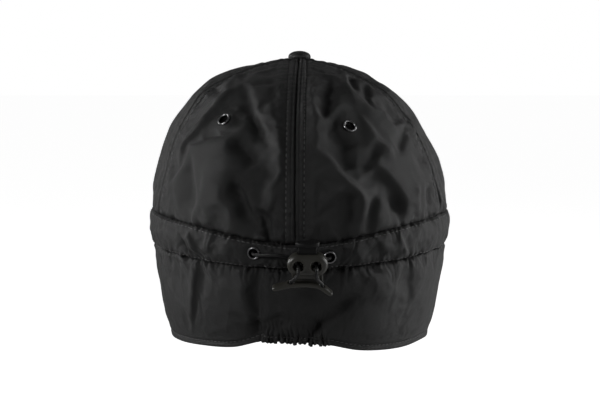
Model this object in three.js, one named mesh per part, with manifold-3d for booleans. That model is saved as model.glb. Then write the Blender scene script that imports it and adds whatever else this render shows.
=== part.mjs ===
// A nylon earflap cap with its flaps down: a six panel crown with a button, a front peak,
// a drawcord tunnel round the back with a cord lock, and one ear flap from temple to temple.
// Millimetres. The origin is the middle of the head opening, +Z is up and the peak points to +Y.
// Azimuths are in degrees round the head: 0 at the nape, +90 at the right ear (+X), 180 in front.
import * as THREE from "three";
import { mergeVertices } from "three/addons/utils/BufferGeometryUtils.js";
import Module from "manifold-3d";

const wasm = await Module();
wasm.setup();

// Driving dimensions
const SEAM_GAP = 0.4;
const CLOTH = 1.6;
const CROWN = {
  halfWidth: 89.4,
  halfDepth: 105.5,
  widestHeight: 22,
  domeHeight: 90.8,
  leftPower: 2.2,
  rightPower: 1.95,
  backPower: 2.15,
  frontPower: 2.7,
  rimPinch: 0.027,
  tipAngle: 88.6,
};
const RIM = { earHeight: 4, spread: 50 };
const TUNNEL = {
  earTop: 24,
  napeDip: 10,
  dipSpread: 34,
  puff: 0.9,
  napePuff: 0.8,
  puffPower: 0.7,
  endAzimuth: 123.4,
  pocketDepth: 2.5,
};
const STITCH_PINCH = { depth: 0.9, reach: 4 };
const GATHER = { pitch: 15, height: 0.8, reach: 11, drift: 1.7, driftLength: 21 };
const FLAP = { thickness: 2, hemExtra: 0.7, hemReach: 4, taper: 0.008, taperPower: 1.8, napeTaper: 1.35 };
const RUFFLE = { from: -15, to: 11, pitch: 2.4, height: 0.9, reach: 9 };
const COLUMNS = { fineStep: 1.2, coarseStep: 5.1, fineTo: 15.6 };
const PEAK = {
  thickness: 3,
  halfSpan: 54.5,
  cornerX: 76,
  cornerY: 57,
  reach: 115,
  outlinePower: 2.5,
  slope: 0.16,
  arch: 0.0034,
  archStart: 22,
  tuck: 1.2,
};
const BUTTON = { radius: 6.7, baseRadius: 5.9, height: 5.5, stemRadius: 1.5, stemLength: 2.6, lift: 0.3 };
const EYELET = {
  hole: 2.2,
  barrel: 2.8,
  flange: 4,
  lift: 0.6,
  curl: 0.45,
  clothHole: 3.2,
  backFlange: 3.6,
  tunnelDepth: 1.9,
  flatReach: 13,
  rimInset: 0.15,
  lipInset: 0.25,
  crest: 1.8,
};
const HOLE_REACH = 3;
const CORD_RADIUS = 1;

// Panel seams, from the nape round the right side to the front
const SEAM = { back: -1, side: 68, front: 124 };

// One row for each panel: its name, its azimuths, and whether it ends at the tunnel or at the rim
const PANELS = [
  { name: "back_right", from: SEAM.back, to: SEAM.side, columns: 13, rows: 16, overTunnel: true },
  { name: "side_right", from: SEAM.side, to: SEAM.front, columns: 9, rows: 13, overTunnel: true },
  { name: "front_right", from: SEAM.front, to: 180, columns: 9, rows: 13, overTunnel: false },
  { name: "front_left", from: -180, to: -SEAM.front, columns: 9, rows: 13, overTunnel: false },
  { name: "side_left", from: -SEAM.front, to: -SEAM.side, columns: 9, rows: 13, overTunnel: true },
  { name: "back_left", from: -SEAM.side, to: SEAM.back, columns: 13, rows: 16, overTunnel: true },
];

// The crown's main folds: each runs through points given by azimuth and height, stands out
// (or with a minus lies in) by rise, and is about twice its width across
const CROWN_FOLDS = [
  { azimuth: [-60.1, -47, -48.5, -54.4], height: [101, 92, 74, 59], width: 9, rise: 1.6 },
  { azimuth: [-31.6, -22.3, -15.1], height: [94, 83, 71], width: 5.5, rise: -3 },
  { azimuth: [-41.4, -32.2, -23.1], height: [72, 62, 52], width: 10, rise: -2.2 },
  { azimuth: [-24, -20, -15], height: [44, 35, 25], width: 5.5, rise: -3 },
  { azimuth: [-42.2, -30, -26], height: [56, 39, 24], width: 6, rise: 1.8 },
  { azimuth: [-49.2, -50.1, -49], height: [54, 41, 29], width: 8, rise: -2 },
  { azimuth: [10.5, 7.4, 14.4, 22.2, 24], height: [101, 68, 52, 38, 24], width: 7, rise: 2 },
  { azimuth: [20.9, 13.2], height: [99, 88], width: 6, rise: -1.8 },
  { azimuth: [44.2, 41.6], height: [100, 88], width: 6, rise: -1.6 },
  { azimuth: [46.5, 44, 51.5], height: [89, 81, 77], width: 5, rise: 1.6 },
  { azimuth: [63.4, 57.9, 62], height: [80, 66, 48], width: 5, rise: 1.3 },
  { azimuth: [22.1, 22.7], height: [68, 56], width: 9, rise: -2.2 },
  { azimuth: [30.2, 34.7], height: [61, 46], width: 8, rise: -1.6 },
  { azimuth: [19.1, 18], height: [36, 21], width: 5, rise: -2.4 },
  { azimuth: [29.2, 26], height: [37, 24], width: 5, rise: -1.8 },
  { azimuth: [41.7, 40.1], height: [43, 27], width: 6, rise: -1.8 },
  { azimuth: [95, 92, 98], height: [84, 66, 46], width: 9, rise: -1.8 },
  { azimuth: [-92, -97, -90], height: [80, 60, 42], width: 10, rise: -1.8 },
  { azimuth: [150, 146], height: [80, 52], width: 11, rise: -1.3 },
  { azimuth: [-152, -149], height: [74, 48], width: 11, rise: -1.3 },
];
const FLAP_FOLDS = [
  { azimuth: [-43, -47, -50], height: [0, -16, -41], width: 5, rise: 1.8 },
  { azimuth: [-54, -58], height: [-4, -36], width: 8, rise: -1.3 },
  { azimuth: [-14, -13, -12], height: [-4, -24, -40], width: 5, rise: -2.2 },
  { azimuth: [21, 14, 6], height: [-20, -29, -40], width: 5, rise: -2 },
  { azimuth: [-25, -26], height: [-8, -38], width: 7, rise: 1.2 },
  { azimuth: [44, 46], height: [-6, -34], width: 10, rise: 1 },
  { azimuth: [82, 86], height: [-6, -40], width: 9, rise: -1.2 },
  { azimuth: [-84, -88], height: [-6, -40], width: 9, rise: -1.2 },
];

// How far the hem hangs below the origin, round the head
const HEM = [
  { azimuth: -122.6, drop: 3 },
  { azimuth: -119, drop: 14 },
  { azimuth: -113, drop: 31 },
  { azimuth: -104, drop: 46 },
  { azimuth: -90, drop: 51 },
  { azimuth: -65, drop: 50.5 },
  { azimuth: -46, drop: 48.5 },
  { azimuth: -28, drop: 46 },
  { azimuth: -15, drop: 41 },
  { azimuth: 0, drop: 41.5 },
  { azimuth: 11, drop: 43 },
  { azimuth: 26, drop: 47.5 },
  { azimuth: 48, drop: 50.5 },
  { azimuth: 66, drop: 50.5 },
  { azimuth: 90, drop: 51.5 },
  { azimuth: 104, drop: 46 },
  { azimuth: 113, drop: 31 },
  { azimuth: 119, drop: 14 },
  { azimuth: 122.6, drop: 3 },
];

// Eyelets, by the azimuth and height of their middles
const VENT_EYELETS = [
  { name: "eyelet_vent_left", azimuth: -37.1, height: 81.4 },
  { name: "eyelet_vent_right", azimuth: 24.4, height: 78.6 },
];
const CORD_EYELETS = [
  { name: "eyelet_cord_left", azimuth: -16.6, height: 9.4 },
  { name: "eyelet_cord_right", azimuth: 10.9, height: 7.4 },
];

// The cord lock, in its own frame: x to the right, y up along the plunger, z out from the cap
const LOCK = {
  place: [4.4, -114, 5],
  lean: 12,
  lobeOffset: 4.9,
  lobeRadius: 6.3,
  barrelDepth: 10,
  barrelBevel: 2.4,
  boreRadius: 2.6,
  boreOffset: 5,
  footBevel: 0.8,
  eyeDepth: 2.3,
  eyeRadius: 1.5,
  eyeMouth: 2.2,
  eyeReach: 4,
  mouthReach: 3,
};

// The blocks under the barrel: round the plunger's slot, and down to the foot
const LOCK_BLOCKS = [
  { halfWidth: 6.3, top: -2, bottom: -8, back: -3, front: 2.9 },
  { halfWidth: 8.6, top: -2, bottom: -11.8, back: -3, front: 0.8 },
];

// The foot's plan from front to back, as corners round it: its two wings droop, the right one more
const FOOT = { back: -2.4, front: 4.2 };
const FOOT_OUTLINE = [
  [-10.7, -10.1],
  [-13.2, -11.1],
  [-16.4, -11.8],
  [-18.6, -12.5],
  [-19.4, -13.6],
  [-18.6, -14.8],
  [-15.1, -14.2],
  [-10.7, -13.2],
  [-2.4, -12.5],
  [5.8, -13.4],
  [9.1, -15.6],
  [12.2, -17.5],
  [13.6, -17.3],
  [13.8, -16.2],
  [12.4, -15],
  [9.6, -12.6],
  [4, -10.3],
  [-4, -9.9],
];
const PLUNGER = {
  slotHalfWidth: 5.3,
  slotHalfDepth: 2.1,
  slotBottom: -7,
  clearance: 0.35,
  capHalfWidth: 6.6,
  capHalfDepth: 3.6,
  capBottom: 10.2,
  capTop: 12.9,
  neckBottom: 4.2,
  tongueHalfWidth: 2.2,
  barTop: -1.35,
  barBottom: -3.7,
  capBevel: 0.7,
  capOverlap: 0.5,
};

// Each cord's way out of its eyelet, in the eyelet's frame, as distance towards the lock and height
const CORD_FROM_EYELET = [
  [0, -1.7],
  [0, 0.7],
  [0.9, 2.4],
  [3.4, 3.1],
];

// And then its way in the lock's frame: behind the barrel, through its bore and down into the foot
const CORDS = [
  {
    name: "drawcord_left",
    side: -1,
    inLock: [
      [-16, 3.2, -5.2],
      [-7.2, 0.5, -6.8],
      [-5, 0, -3.8],
      [-5, 0, 3],
      [-5, -1.6, 6.3],
      [-5.7, -4.9, 6.1],
      [-7.5, -7.6, 4.4],
      [-9, -9.3, 2.6],
      [-9.2, -10.6, 2.3],
      [-9.2, -12.3, 2.3],
    ],
  },
  {
    name: "drawcord_right",
    side: 1,
    inLock: [
      [7.2, 0.5, -6.8],
      [5, 0, -3.8],
      [5, 0, 3],
      [4.95, -1.6, 6.3],
      [5.05, -4.9, 6.1],
      [6, -8.2, 4.6],
      [7.8, -10.6, 2.7],
      [8.15, -11.9, 2.35],
      [8.2, -13.6, 2.3],
    ],
  },
];

const CORD_STEPS = 26;
const CORD_SIDES = 8;

const radians = THREE.MathUtils.degToRad;

// The crown's share of its full radius at a dome angle, which is negative below the widest line
function crownShare(domeAngle, power) {
  if (domeAngle < 0) {
    const below = (-domeAngle * CROWN.domeHeight) / CROWN.widestHeight;
    return 1 - CROWN.rimPinch * below * below;
  }
  return Math.pow(1 - Math.pow(Math.sin(domeAngle), power), 1 / power);
}

function domeAngleAt(height) {
  const up = (height - CROWN.widestHeight) / CROWN.domeHeight;
  return up < 0 ? up : Math.asin(Math.min(1, up));
}

// The crown slopes more on the right than on the left
function sidePower(azimuth) {
  return Math.sin(radians(azimuth)) > 0 ? CROWN.rightPower : CROWN.leftPower;
}

function smoothCrown(azimuth, domeAngle) {
  const turn = radians(azimuth);
  const backward = Math.cos(turn);
  const depthPower = backward > 0 ? CROWN.backPower : CROWN.frontPower;
  const up = domeAngle < 0 ? domeAngle : Math.sin(domeAngle);
  return new THREE.Vector3(
    CROWN.halfWidth * crownShare(domeAngle, sidePower(azimuth)) * Math.sin(turn),
    -CROWN.halfDepth * crownShare(domeAngle, depthPower) * backward,
    CROWN.widestHeight + CROWN.domeHeight * up,
  );
}

// Below the rim the flap runs on from the crown and tapers in towards the neck
function smoothFlap(azimuth, height) {
  const turn = radians(azimuth);
  const inset = FLAP.taper * Math.pow(Math.max(0, -height), FLAP.taperPower);
  const nape = 1 + (FLAP.napeTaper - 1) * Math.max(0, Math.cos(turn));
  const point = smoothCrown(azimuth, domeAngleAt(Math.max(0, height)));
  point.x -= inset * Math.sin(turn);
  point.y += inset * nape * Math.cos(turn);
  point.z = height;
  return point;
}

function smoothShell(azimuth, height) {
  return height >= 0 ? smoothCrown(azimuth, domeAngleAt(height)) : smoothFlap(azimuth, height);
}

// The outward direction of a surface given by a function of azimuth and height
function outward(surface, azimuth, height) {
  const span = 0.6;
  const along = surface(azimuth + span, height).sub(surface(azimuth - span, height));
  const up = surface(azimuth, height + span).sub(surface(azimuth, height - span));
  return along.cross(up).normalize();
}

function rimHeight(azimuth) {
  return RIM.earHeight * (1 - Math.exp(-Math.pow(azimuth / RIM.spread, 2)));
}

function tunnelTop(azimuth) {
  return TUNNEL.earTop - TUNNEL.napeDip * Math.exp(-Math.pow(azimuth / TUNNEL.dipSpread, 2));
}

// Hermite interpolation of one column of a table over its azimuth column
function readTable(table, column, azimuth) {
  const last = table.length - 2;
  const found = table.findIndex((row, i) => i <= last && azimuth <= table[i + 1].azimuth);
  const i = found < 0 ? last : found;
  const slope = (k) => {
    const before = table[Math.max(0, k - 1)];
    const after = table[Math.min(table.length - 1, k + 1)];
    return (after[column] - before[column]) / (after.azimuth - before.azimuth);
  };
  const width = table[i + 1].azimuth - table[i].azimuth;
  const t = (azimuth - table[i].azimuth) / width;
  const ease = t * t * (3 - 2 * t);
  const bend = width * (slope(i) * t * (1 - t) * (1 - t) - slope(i + 1) * t * t * (1 - t));
  return table[i][column] * (1 - ease) + table[i + 1][column] * ease + bend;
}

function hemHeight(azimuth) {
  return -readTable(HEM, "drop", azimuth);
}

// Each fold as the polyline that it follows on the smooth shell
function foldLines(table) {
  return table.map((fold) => ({
    ...fold,
    points: fold.azimuth.map((azimuth, i) => smoothShell(azimuth, fold.height[i])),
  }));
}

const crownFolds = foldLines(CROWN_FOLDS);
const flapFolds = foldLines(FLAP_FOLDS);
const eyeletPlaces = [...VENT_EYELETS, ...CORD_EYELETS].map((e) => smoothShell(e.azimuth, e.height));

function foldRise(folds, point) {
  const nearest = new THREE.Vector3();
  let rise = 0;
  for (const fold of folds) {
    let gap = Infinity;
    for (let i = 1; i < fold.points.length; i++) {
      new THREE.Line3(fold.points[i - 1], fold.points[i]).closestPointToPoint(point, true, nearest);
      gap = Math.min(gap, nearest.distanceTo(point));
    }
    rise += fold.rise * Math.exp(-Math.pow(gap / fold.width, 2));
  }
  return rise;
}

// The cloth lies flat round each eyelet
function flatNearEyelets(point) {
  return eyeletPlaces.reduce((share, eye) => {
    const near = Math.exp(-Math.pow(point.distanceTo(eye) / EYELET.flatReach, 4));
    return share * (1 - near);
  }, 1);
}

// Gathers stand out beside a stitch line and die away from it
function gatherRise(azimuth, fromStitch) {
  const along = (azimuth * Math.PI * CROWN.halfDepth) / 180;
  const drift = GATHER.drift * Math.sin(along / GATHER.driftLength);
  const wave = Math.cos((2 * Math.PI * along) / GATHER.pitch + drift);
  return GATHER.height * wave * Math.exp(-Math.abs(fromStitch) / GATHER.reach);
}

function stitchPinch(fromStitch) {
  return -STITCH_PINCH.depth * Math.exp(-Math.pow(fromStitch / STITCH_PINCH.reach, 2));
}

function crownAt(azimuth, height, overTunnel) {
  const base = smoothShell(azimuth, height);
  const fromStitch = height - tunnelTop(azimuth);
  const gathers = overTunnel ? gatherRise(azimuth, fromStitch) + stitchPinch(fromStitch) : 0;
  const rise = (foldRise(crownFolds, base) + gathers) * flatNearEyelets(base);
  return base.addScaledVector(outward(smoothShell, azimuth, height), rise);
}

function tunnelAt(azimuth, share) {
  const low = rimHeight(azimuth) + SEAM_GAP / 2;
  const height = THREE.MathUtils.lerp(low, tunnelTop(azimuth) - SEAM_GAP / 2, share);
  const nape = Math.exp(-Math.pow(azimuth / RIM.spread, 2));
  const puff =
    (TUNNEL.puff + TUNNEL.napePuff * nape) * Math.pow(1 - Math.pow(2 * share - 1, 2), TUNNEL.puffPower);
  const edge = Math.min(height - low, tunnelTop(azimuth) - height);
  const base = smoothShell(azimuth, height);
  const gathers = gatherRise(azimuth, edge * 2) + stitchPinch(edge);
  const rise = puff + gathers * flatNearEyelets(base);
  return base.addScaledVector(outward(smoothShell, azimuth, height), rise);
}

function ruffleRise(azimuth, aboveHem) {
  const edge = THREE.MathUtils.smoothstep(azimuth, RUFFLE.from - 2, RUFFLE.from + 2);
  const end = 1 - THREE.MathUtils.smoothstep(azimuth, RUFFLE.to - 2, RUFFLE.to + 2);
  const wave = Math.cos((2 * Math.PI * azimuth) / RUFFLE.pitch);
  return RUFFLE.height * wave * edge * end * Math.exp(-aboveHem / RUFFLE.reach);
}

function flapAt(azimuth, share) {
  const top = rimHeight(azimuth) - SEAM_GAP / 2;
  const hem = hemHeight(azimuth);
  const height = THREE.MathUtils.lerp(top, hem, share);
  const base = smoothShell(azimuth, height);
  const gathers = gatherRise(azimuth, top - height) + stitchPinch(top - height);
  const rise = foldRise(flapFolds, base) + gathers + ruffleRise(azimuth, height - hem);
  return base.addScaledVector(outward(smoothShell, azimuth, height), rise);
}

// A closed wall between an outer and an inner grid of points with the same rows and columns
function wall(columns, rows, outerAt, innerAt) {
  const vertices = [];
  const faces = [];
  for (const at of [outerAt, innerAt])
    for (let row = 0; row <= rows; row++)
      for (let column = 0; column <= columns; column++) vertices.push(at(column, row));
  const inner = (rows + 1) * (columns + 1);
  const index = (column, row) => row * (columns + 1) + column;
  const quad = (a, b, c, d) => faces.push(a, b, c, a, c, d);
  for (let row = 0; row < rows; row++)
    for (let column = 0; column < columns; column++) {
      const corners = [[0, 0], [1, 0], [1, 1], [0, 1]].map(([i, j]) => index(column + i, row + j));
      quad(...corners);
      quad(...corners.map((i) => i + inner).reverse());
    }
  const edge = (a, b) => quad(b, a, a + inner, b + inner);
  for (let column = 0; column < columns; column++) {
    edge(index(column, 0), index(column + 1, 0));
    edge(index(column + 1, rows), index(column, rows));
  }
  for (let row = 0; row < rows; row++) {
    edge(index(columns, row), index(columns, row + 1));
    edge(index(0, row + 1), index(0, row));
  }
  const geometry = new THREE.BufferGeometry().setFromPoints(vertices).setIndex(faces);
  return facingOut(geometry);
}

// Turns every face round if the closed mesh holds a negative volume
function facingOut(geometry) {
  const place = geometry.getAttribute("position");
  const order = geometry.getIndex();
  const corners = [0, 1, 2].map(() => new THREE.Vector3());
  let volume = 0;
  for (let i = 0; i < order.count; i += 3) {
    corners.forEach((corner, k) => corner.fromBufferAttribute(place, order.getX(i + k)));
    volume += corners[0].dot(corners[1].clone().cross(corners[2]));
  }
  if (volume < 0)
    for (let i = 0; i < order.count; i += 3) {
      const second = order.getX(i + 1);
      order.setX(i + 1, order.getX(i + 2));
      order.setX(i + 2, second);
    }
  return geometry;
}

function toManifold(geometry) {
  const bare = geometry.clone();
  for (const name of Object.keys(bare.attributes)) if (name !== "position") bare.deleteAttribute(name);
  const merged = mergeVertices(bare, 1e-3);
  return new wasm.Manifold(
    new wasm.Mesh({
      numProp: 3,
      vertProperties: new Float32Array(merged.attributes.position.array),
      triVerts: new Uint32Array(merged.index.array),
    }),
  );
}

function fromManifold(manifold) {
  const mesh = manifold.getMesh();
  return new THREE.BufferGeometry()
    .setAttribute("position", new THREE.BufferAttribute(new Float32Array(mesh.vertProperties), 3))
    .setIndex(new THREE.BufferAttribute(new Uint32Array(mesh.triVerts), 1));
}

function cut(geometry, ...tools) {
  return fromManifold(tools.reduce((left, tool) => left.subtract(toManifold(tool)), toManifold(geometry)));
}

function join(...geometries) {
  return fromManifold(geometries.map(toManifold).reduce((left, right) => left.add(right)));
}

// The frame of an eyelet: its local Z points straight out of the cloth
function eyeletFrame(surface, azimuth, height) {
  const middle = surface(azimuth, height);
  const out = outward(surface, azimuth, height);
  const turn = new THREE.Quaternion().setFromUnitVectors(new THREE.Vector3(0, 0, 1), out);
  return new THREE.Matrix4().compose(middle, turn, new THREE.Vector3(1, 1, 1));
}

function clothHole(frame, from, to) {
  const tool = new THREE.CylinderGeometry(EYELET.clothHole, EYELET.clothHole, to - from, 16);
  return tool.rotateX(Math.PI / 2).translate(0, 0, (from + to) / 2).applyMatrix4(frame);
}

const MATERIALS = {
  cloth: new THREE.MeshStandardMaterial({ color: 0x242424, roughness: 0.62, metalness: 0 }),
  peak: new THREE.MeshStandardMaterial({ color: 0x232323, roughness: 0.62, metalness: 0 }),
  button: new THREE.MeshStandardMaterial({ color: 0x202020, roughness: 0.6, metalness: 0 }),
  eyelet: new THREE.MeshStandardMaterial({ color: 0x17171a, roughness: 0.25, metalness: 1 }),
  cord: new THREE.MeshStandardMaterial({ color: 0x2b2b2b, roughness: 0.5, metalness: 0 }),
  lock: new THREE.MeshStandardMaterial({ color: 0x35342f, roughness: 0.42, metalness: 0 }),
  plunger: new THREE.MeshStandardMaterial({ color: 0x1c1c1c, roughness: 0.5, metalness: 0 }),
};

const cap = new THREE.Group();

function add(name, geometry, material, parent = cap) {
  const mesh = new THREE.Mesh(geometry, material.clone());
  mesh.name = name;
  parent.add(mesh);
  return mesh;
}

// One crown panel as a thin wall between two seams, with its vent hole if it has one
function crownPanel(panel) {
  const tip = radians(CROWN.tipAngle);
  const power = sidePower((panel.from + panel.to) / 2);
  const heightOf = (azimuth, share) => {
    const foot = panel.overTunnel ? tunnelTop(azimuth) : rimHeight(azimuth);
    const angle = THREE.MathUtils.lerp(domeAngleAt(foot + SEAM_GAP / 2), tip, share);
    return CROWN.widestHeight + CROWN.domeHeight * (angle < 0 ? angle : Math.sin(angle));
  };
  const place = (column, row) => {
    const across = column / panel.columns;
    const height = heightOf(THREE.MathUtils.lerp(panel.from, panel.to, across), row / panel.rows);
    const radius = CROWN.halfWidth * crownShare(domeAngleAt(height), power);
    const margin = THREE.MathUtils.radToDeg(SEAM_GAP / 2 / radius);
    return [THREE.MathUtils.lerp(panel.from + margin, panel.to - margin, across), height];
  };
  const outer = (column, row) => crownAt(...place(column, row), panel.overTunnel);
  const inner = (column, row) => {
    const [azimuth, height] = place(column, row);
    return outer(column, row).addScaledVector(outward(smoothShell, azimuth, height), -CLOTH);
  };
  const vents = VENT_EYELETS.filter((e) => e.azimuth > panel.from && e.azimuth < panel.to);
  const shell = wall(panel.columns, panel.rows, outer, inner);
  if (!vents.length) return shell;
  const holes = vents.map((e) =>
    clothHole(eyeletFrame(smoothShell, e.azimuth, e.height), -HOLE_REACH - CLOTH, HOLE_REACH),
  );
  return cut(shell, ...holes);
}

// Columns stand close together at the nape, where the cloth is gathered most
function bandColumns(end) {
  const fine = Math.round(COLUMNS.fineTo / COLUMNS.fineStep);
  const coarse = Math.round((end - COLUMNS.fineTo) / COLUMNS.coarseStep);
  const half = [];
  for (let i = 0; i <= fine; i++) half.push((COLUMNS.fineTo * i) / fine);
  for (let i = 1; i <= coarse; i++) half.push(COLUMNS.fineTo + ((end - COLUMNS.fineTo) * i) / coarse);
  return [...half.slice(1).reverse().map((azimuth) => -azimuth), ...half];
}

function tunnelOuter(azimuth, height) {
  const low = rimHeight(azimuth);
  return tunnelAt(azimuth, (height - low) / (tunnelTop(azimuth) - low));
}

// The tunnel is a puffed band; the cord's hidden stretch is inside it
function drawcordTunnel() {
  const rows = 4;
  const columns = bandColumns(TUNNEL.endAzimuth);
  const outer = (column, row) => tunnelAt(columns[column], row / rows);
  const inner = (column, row) => {
    const azimuth = columns[column];
    const low = rimHeight(azimuth) + SEAM_GAP / 2;
    const height = THREE.MathUtils.lerp(low, tunnelTop(azimuth) - SEAM_GAP / 2, row / rows);
    const edge = Math.min(height - low, tunnelTop(azimuth) - height);
    const inset = stitchPinch(edge) - CLOTH;
    return smoothShell(azimuth, height).addScaledVector(outward(smoothShell, azimuth, height), inset);
  };
  const pockets = CORD_EYELETS.map((e) =>
    clothHole(eyeletFrame(tunnelOuter, e.azimuth, e.height), -TUNNEL.pocketDepth, HOLE_REACH),
  );
  return cut(wall(columns.length - 1, rows, outer, inner), ...pockets);
}

function earFlap() {
  const rows = 6;
  const columns = bandColumns(HEM[HEM.length - 1].azimuth);
  const outer = (column, row) => flapAt(columns[column], row / rows);
  const inner = (column, row) => {
    const azimuth = columns[column];
    const hem = hemHeight(azimuth);
    const height = THREE.MathUtils.lerp(rimHeight(azimuth) - SEAM_GAP / 2, hem, row / rows);
    const fold = FLAP.hemExtra * Math.exp(-Math.pow((height - hem) / FLAP.hemReach, 2));
    const out = outward(smoothShell, azimuth, height);
    return outer(column, row).addScaledVector(out, -FLAP.thickness - fold);
  };
  return wall(columns.length - 1, rows, outer, inner);
}

// The peak runs out from under the front panels, slopes down and is arched from side to side
function peak() {
  const columns = 22;
  const rows = 6;
  const top = (column, row) => {
    const across = (2 * column) / columns - 1;
    const start = smoothCrown(180 - PEAK.halfSpan * across, domeAngleAt(RIM.earHeight));
    start.multiplyScalar(1 - PEAK.tuck / CROWN.halfWidth);
    start.z = RIM.earHeight - SEAM_GAP;
    const turn = (Math.PI / 2) * across;
    const power = 2 / PEAK.outlinePower;
    const end = new THREE.Vector3(
      PEAK.cornerX * Math.sign(across) * Math.pow(Math.abs(Math.sin(turn)), power),
      PEAK.cornerY + PEAK.reach * Math.pow(Math.abs(Math.cos(turn)), power),
      start.z,
    );
    const point = start.clone().lerp(end, row / rows);
    const out = point.distanceTo(start);
    const arch = PEAK.arch * point.x * point.x * (1 - Math.exp(-out / PEAK.archStart));
    point.z -= PEAK.slope * out + arch;
    return point;
  };
  const under = (column, row) => top(column, row).add(new THREE.Vector3(0, 0, -PEAK.thickness));
  return wall(columns, rows, top, under);
}

// A lathe about local Z from a closed or axis to axis profile of [radius, height] points
function turned(profile, sides) {
  const points = profile.map(([radius, height]) => new THREE.Vector2(radius, height));
  return new THREE.LatheGeometry(points, sides).rotateX(Math.PI / 2);
}

function topButton() {
  const { radius, baseRadius, height, stemRadius, stemLength } = BUTTON;
  const dome = [15, 35, 55, 75].map((angle) => [
    radius * Math.cos(radians(angle)),
    height * (0.35 + 0.65 * Math.sin(radians(angle))),
  ]);
  const profile = [
    [0, -stemLength],
    [stemRadius, -stemLength],
    [stemRadius, 0],
    [baseRadius, 0],
    [radius, height * 0.3],
    ...dome,
    [0, height],
  ];
  const seat = CROWN.widestHeight + CROWN.domeHeight + BUTTON.lift;
  return turned(profile, 18).translate(0, 0, seat);
}

// A rolled eyelet; one in the crown also has a washer behind the cloth
function eyelet(barrelDepth, washer) {
  const { hole, barrel, flange, lift, curl, backFlange, rimInset, lipInset, crest } = EYELET;
  const front = [
    [barrel, lift],
    [flange, lift],
    [flange - rimInset, lift + curl],
    [(flange + hole) / 2, lift + crest * curl],
    [hole + lipInset, lift + curl],
    [hole, lift],
  ];
  const foot = [barrel, -barrelDepth];
  const rolled = [
    [hole, -barrelDepth - curl],
    [backFlange, -barrelDepth - curl],
    [backFlange, -barrelDepth],
    foot,
  ];
  const back = washer ? rolled : [[hole, -barrelDepth], foot];
  return turned([...back, ...front, back[0]], 12);
}

// A cord along a smooth curve through its route, with a round section
function cordAlong(route) {
  const curve = new THREE.CatmullRomCurve3(route, false, "centripetal");
  const section = new THREE.Shape();
  for (let i = 0; i < CORD_SIDES; i++) {
    const turn = (2 * Math.PI * (i + 0.5)) / CORD_SIDES;
    const corner = [CORD_RADIUS * Math.cos(turn), CORD_RADIUS * Math.sin(turn)];
    if (i) section.lineTo(...corner);
    else section.moveTo(...corner);
  }
  section.closePath();
  return new THREE.ExtrudeGeometry(section, { steps: CORD_STEPS, extrudePath: curve, bevelEnabled: false });
}

const lockFrame = new THREE.Group();
lockFrame.position.set(...LOCK.place);
lockFrame.rotation.set(radians(90 + LOCK.lean), 0, 0);
lockFrame.updateMatrixWorld(true);

// A drawcord stretch, from inside its eyelet to inside the lock's foot
function drawcord(eye, cord) {
  const frame = eyeletFrame(tunnelOuter, eye.azimuth, eye.height);
  const start = CORD_FROM_EYELET.map(([towards, up]) =>
    new THREE.Vector3(-cord.side * towards, 0, up).applyMatrix4(frame),
  );
  const end = cord.inLock.map((point) => new THREE.Vector3(...point).applyMatrix4(lockFrame.matrixWorld));
  return cordAlong([...start, ...end]);
}

function extruded(shape, depth, bevel, segments) {
  return new THREE.ExtrudeGeometry(shape, {
    depth: depth - 2 * bevel,
    bevelEnabled: true,
    bevelThickness: bevel,
    bevelSize: bevel,
    bevelOffset: -bevel,
    bevelSegments: segments,
    curveSegments: 5,
  }).translate(0, 0, bevel);
}

// The barrel of the lock is a block with round ends, one round each bore
function barrelShape() {
  const { lobeOffset, lobeRadius } = LOCK;
  const shape = new THREE.Shape();
  shape.moveTo(-lobeOffset, -lobeRadius);
  shape.lineTo(lobeOffset, -lobeRadius);
  shape.absarc(lobeOffset, 0, lobeRadius, -Math.PI / 2, Math.PI / 2);
  shape.lineTo(-lobeOffset, lobeRadius);
  shape.absarc(-lobeOffset, 0, lobeRadius, Math.PI / 2, (3 * Math.PI) / 2);
  return shape;
}

function block({ halfWidth, top, bottom, back, front }) {
  const box = new THREE.BoxGeometry(2 * halfWidth, top - bottom, front - back);
  return box.translate(0, (top + bottom) / 2, (back + front) / 2);
}

function lockBody() {
  const barrel = extruded(barrelShape(), LOCK.barrelDepth, LOCK.barrelBevel, 3);
  barrel.translate(0, 0, -LOCK.barrelDepth / 2);
  const outline = new THREE.Shape(FOOT_OUTLINE.map(([x, y]) => new THREE.Vector2(x, y)));
  const foot = extruded(outline, FOOT.front - FOOT.back, LOCK.footBevel, 2).translate(0, 0, FOOT.back);
  const holes = CORDS.flatMap(({ side, inLock }) => {
    const [x, y] = inLock[inLock.length - 1];
    return [
      new THREE.CylinderGeometry(LOCK.boreRadius, LOCK.boreRadius, 3 * LOCK.barrelDepth, 16)
        .rotateX(Math.PI / 2)
        .translate(side * LOCK.boreOffset, 0, 0),
      new THREE.CylinderGeometry(LOCK.eyeRadius, LOCK.eyeRadius, 2 * LOCK.eyeReach, 10)
        .translate(x, y, LOCK.eyeDepth),
      new THREE.CylinderGeometry(LOCK.eyeMouth, LOCK.eyeRadius, LOCK.mouthReach, 10)
        .translate(x, y + LOCK.eyeReach - LOCK.mouthReach / 2, LOCK.eyeDepth),
    ];
  });
  const slot = block({
    halfWidth: PLUNGER.slotHalfWidth,
    top: LOCK.lobeRadius + 1,
    bottom: PLUNGER.slotBottom,
    back: -PLUNGER.slotHalfDepth,
    front: PLUNGER.slotHalfDepth,
  });
  return cut(join(barrel, ...LOCK_BLOCKS.map(block), foot), ...holes, slot);
}

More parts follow.
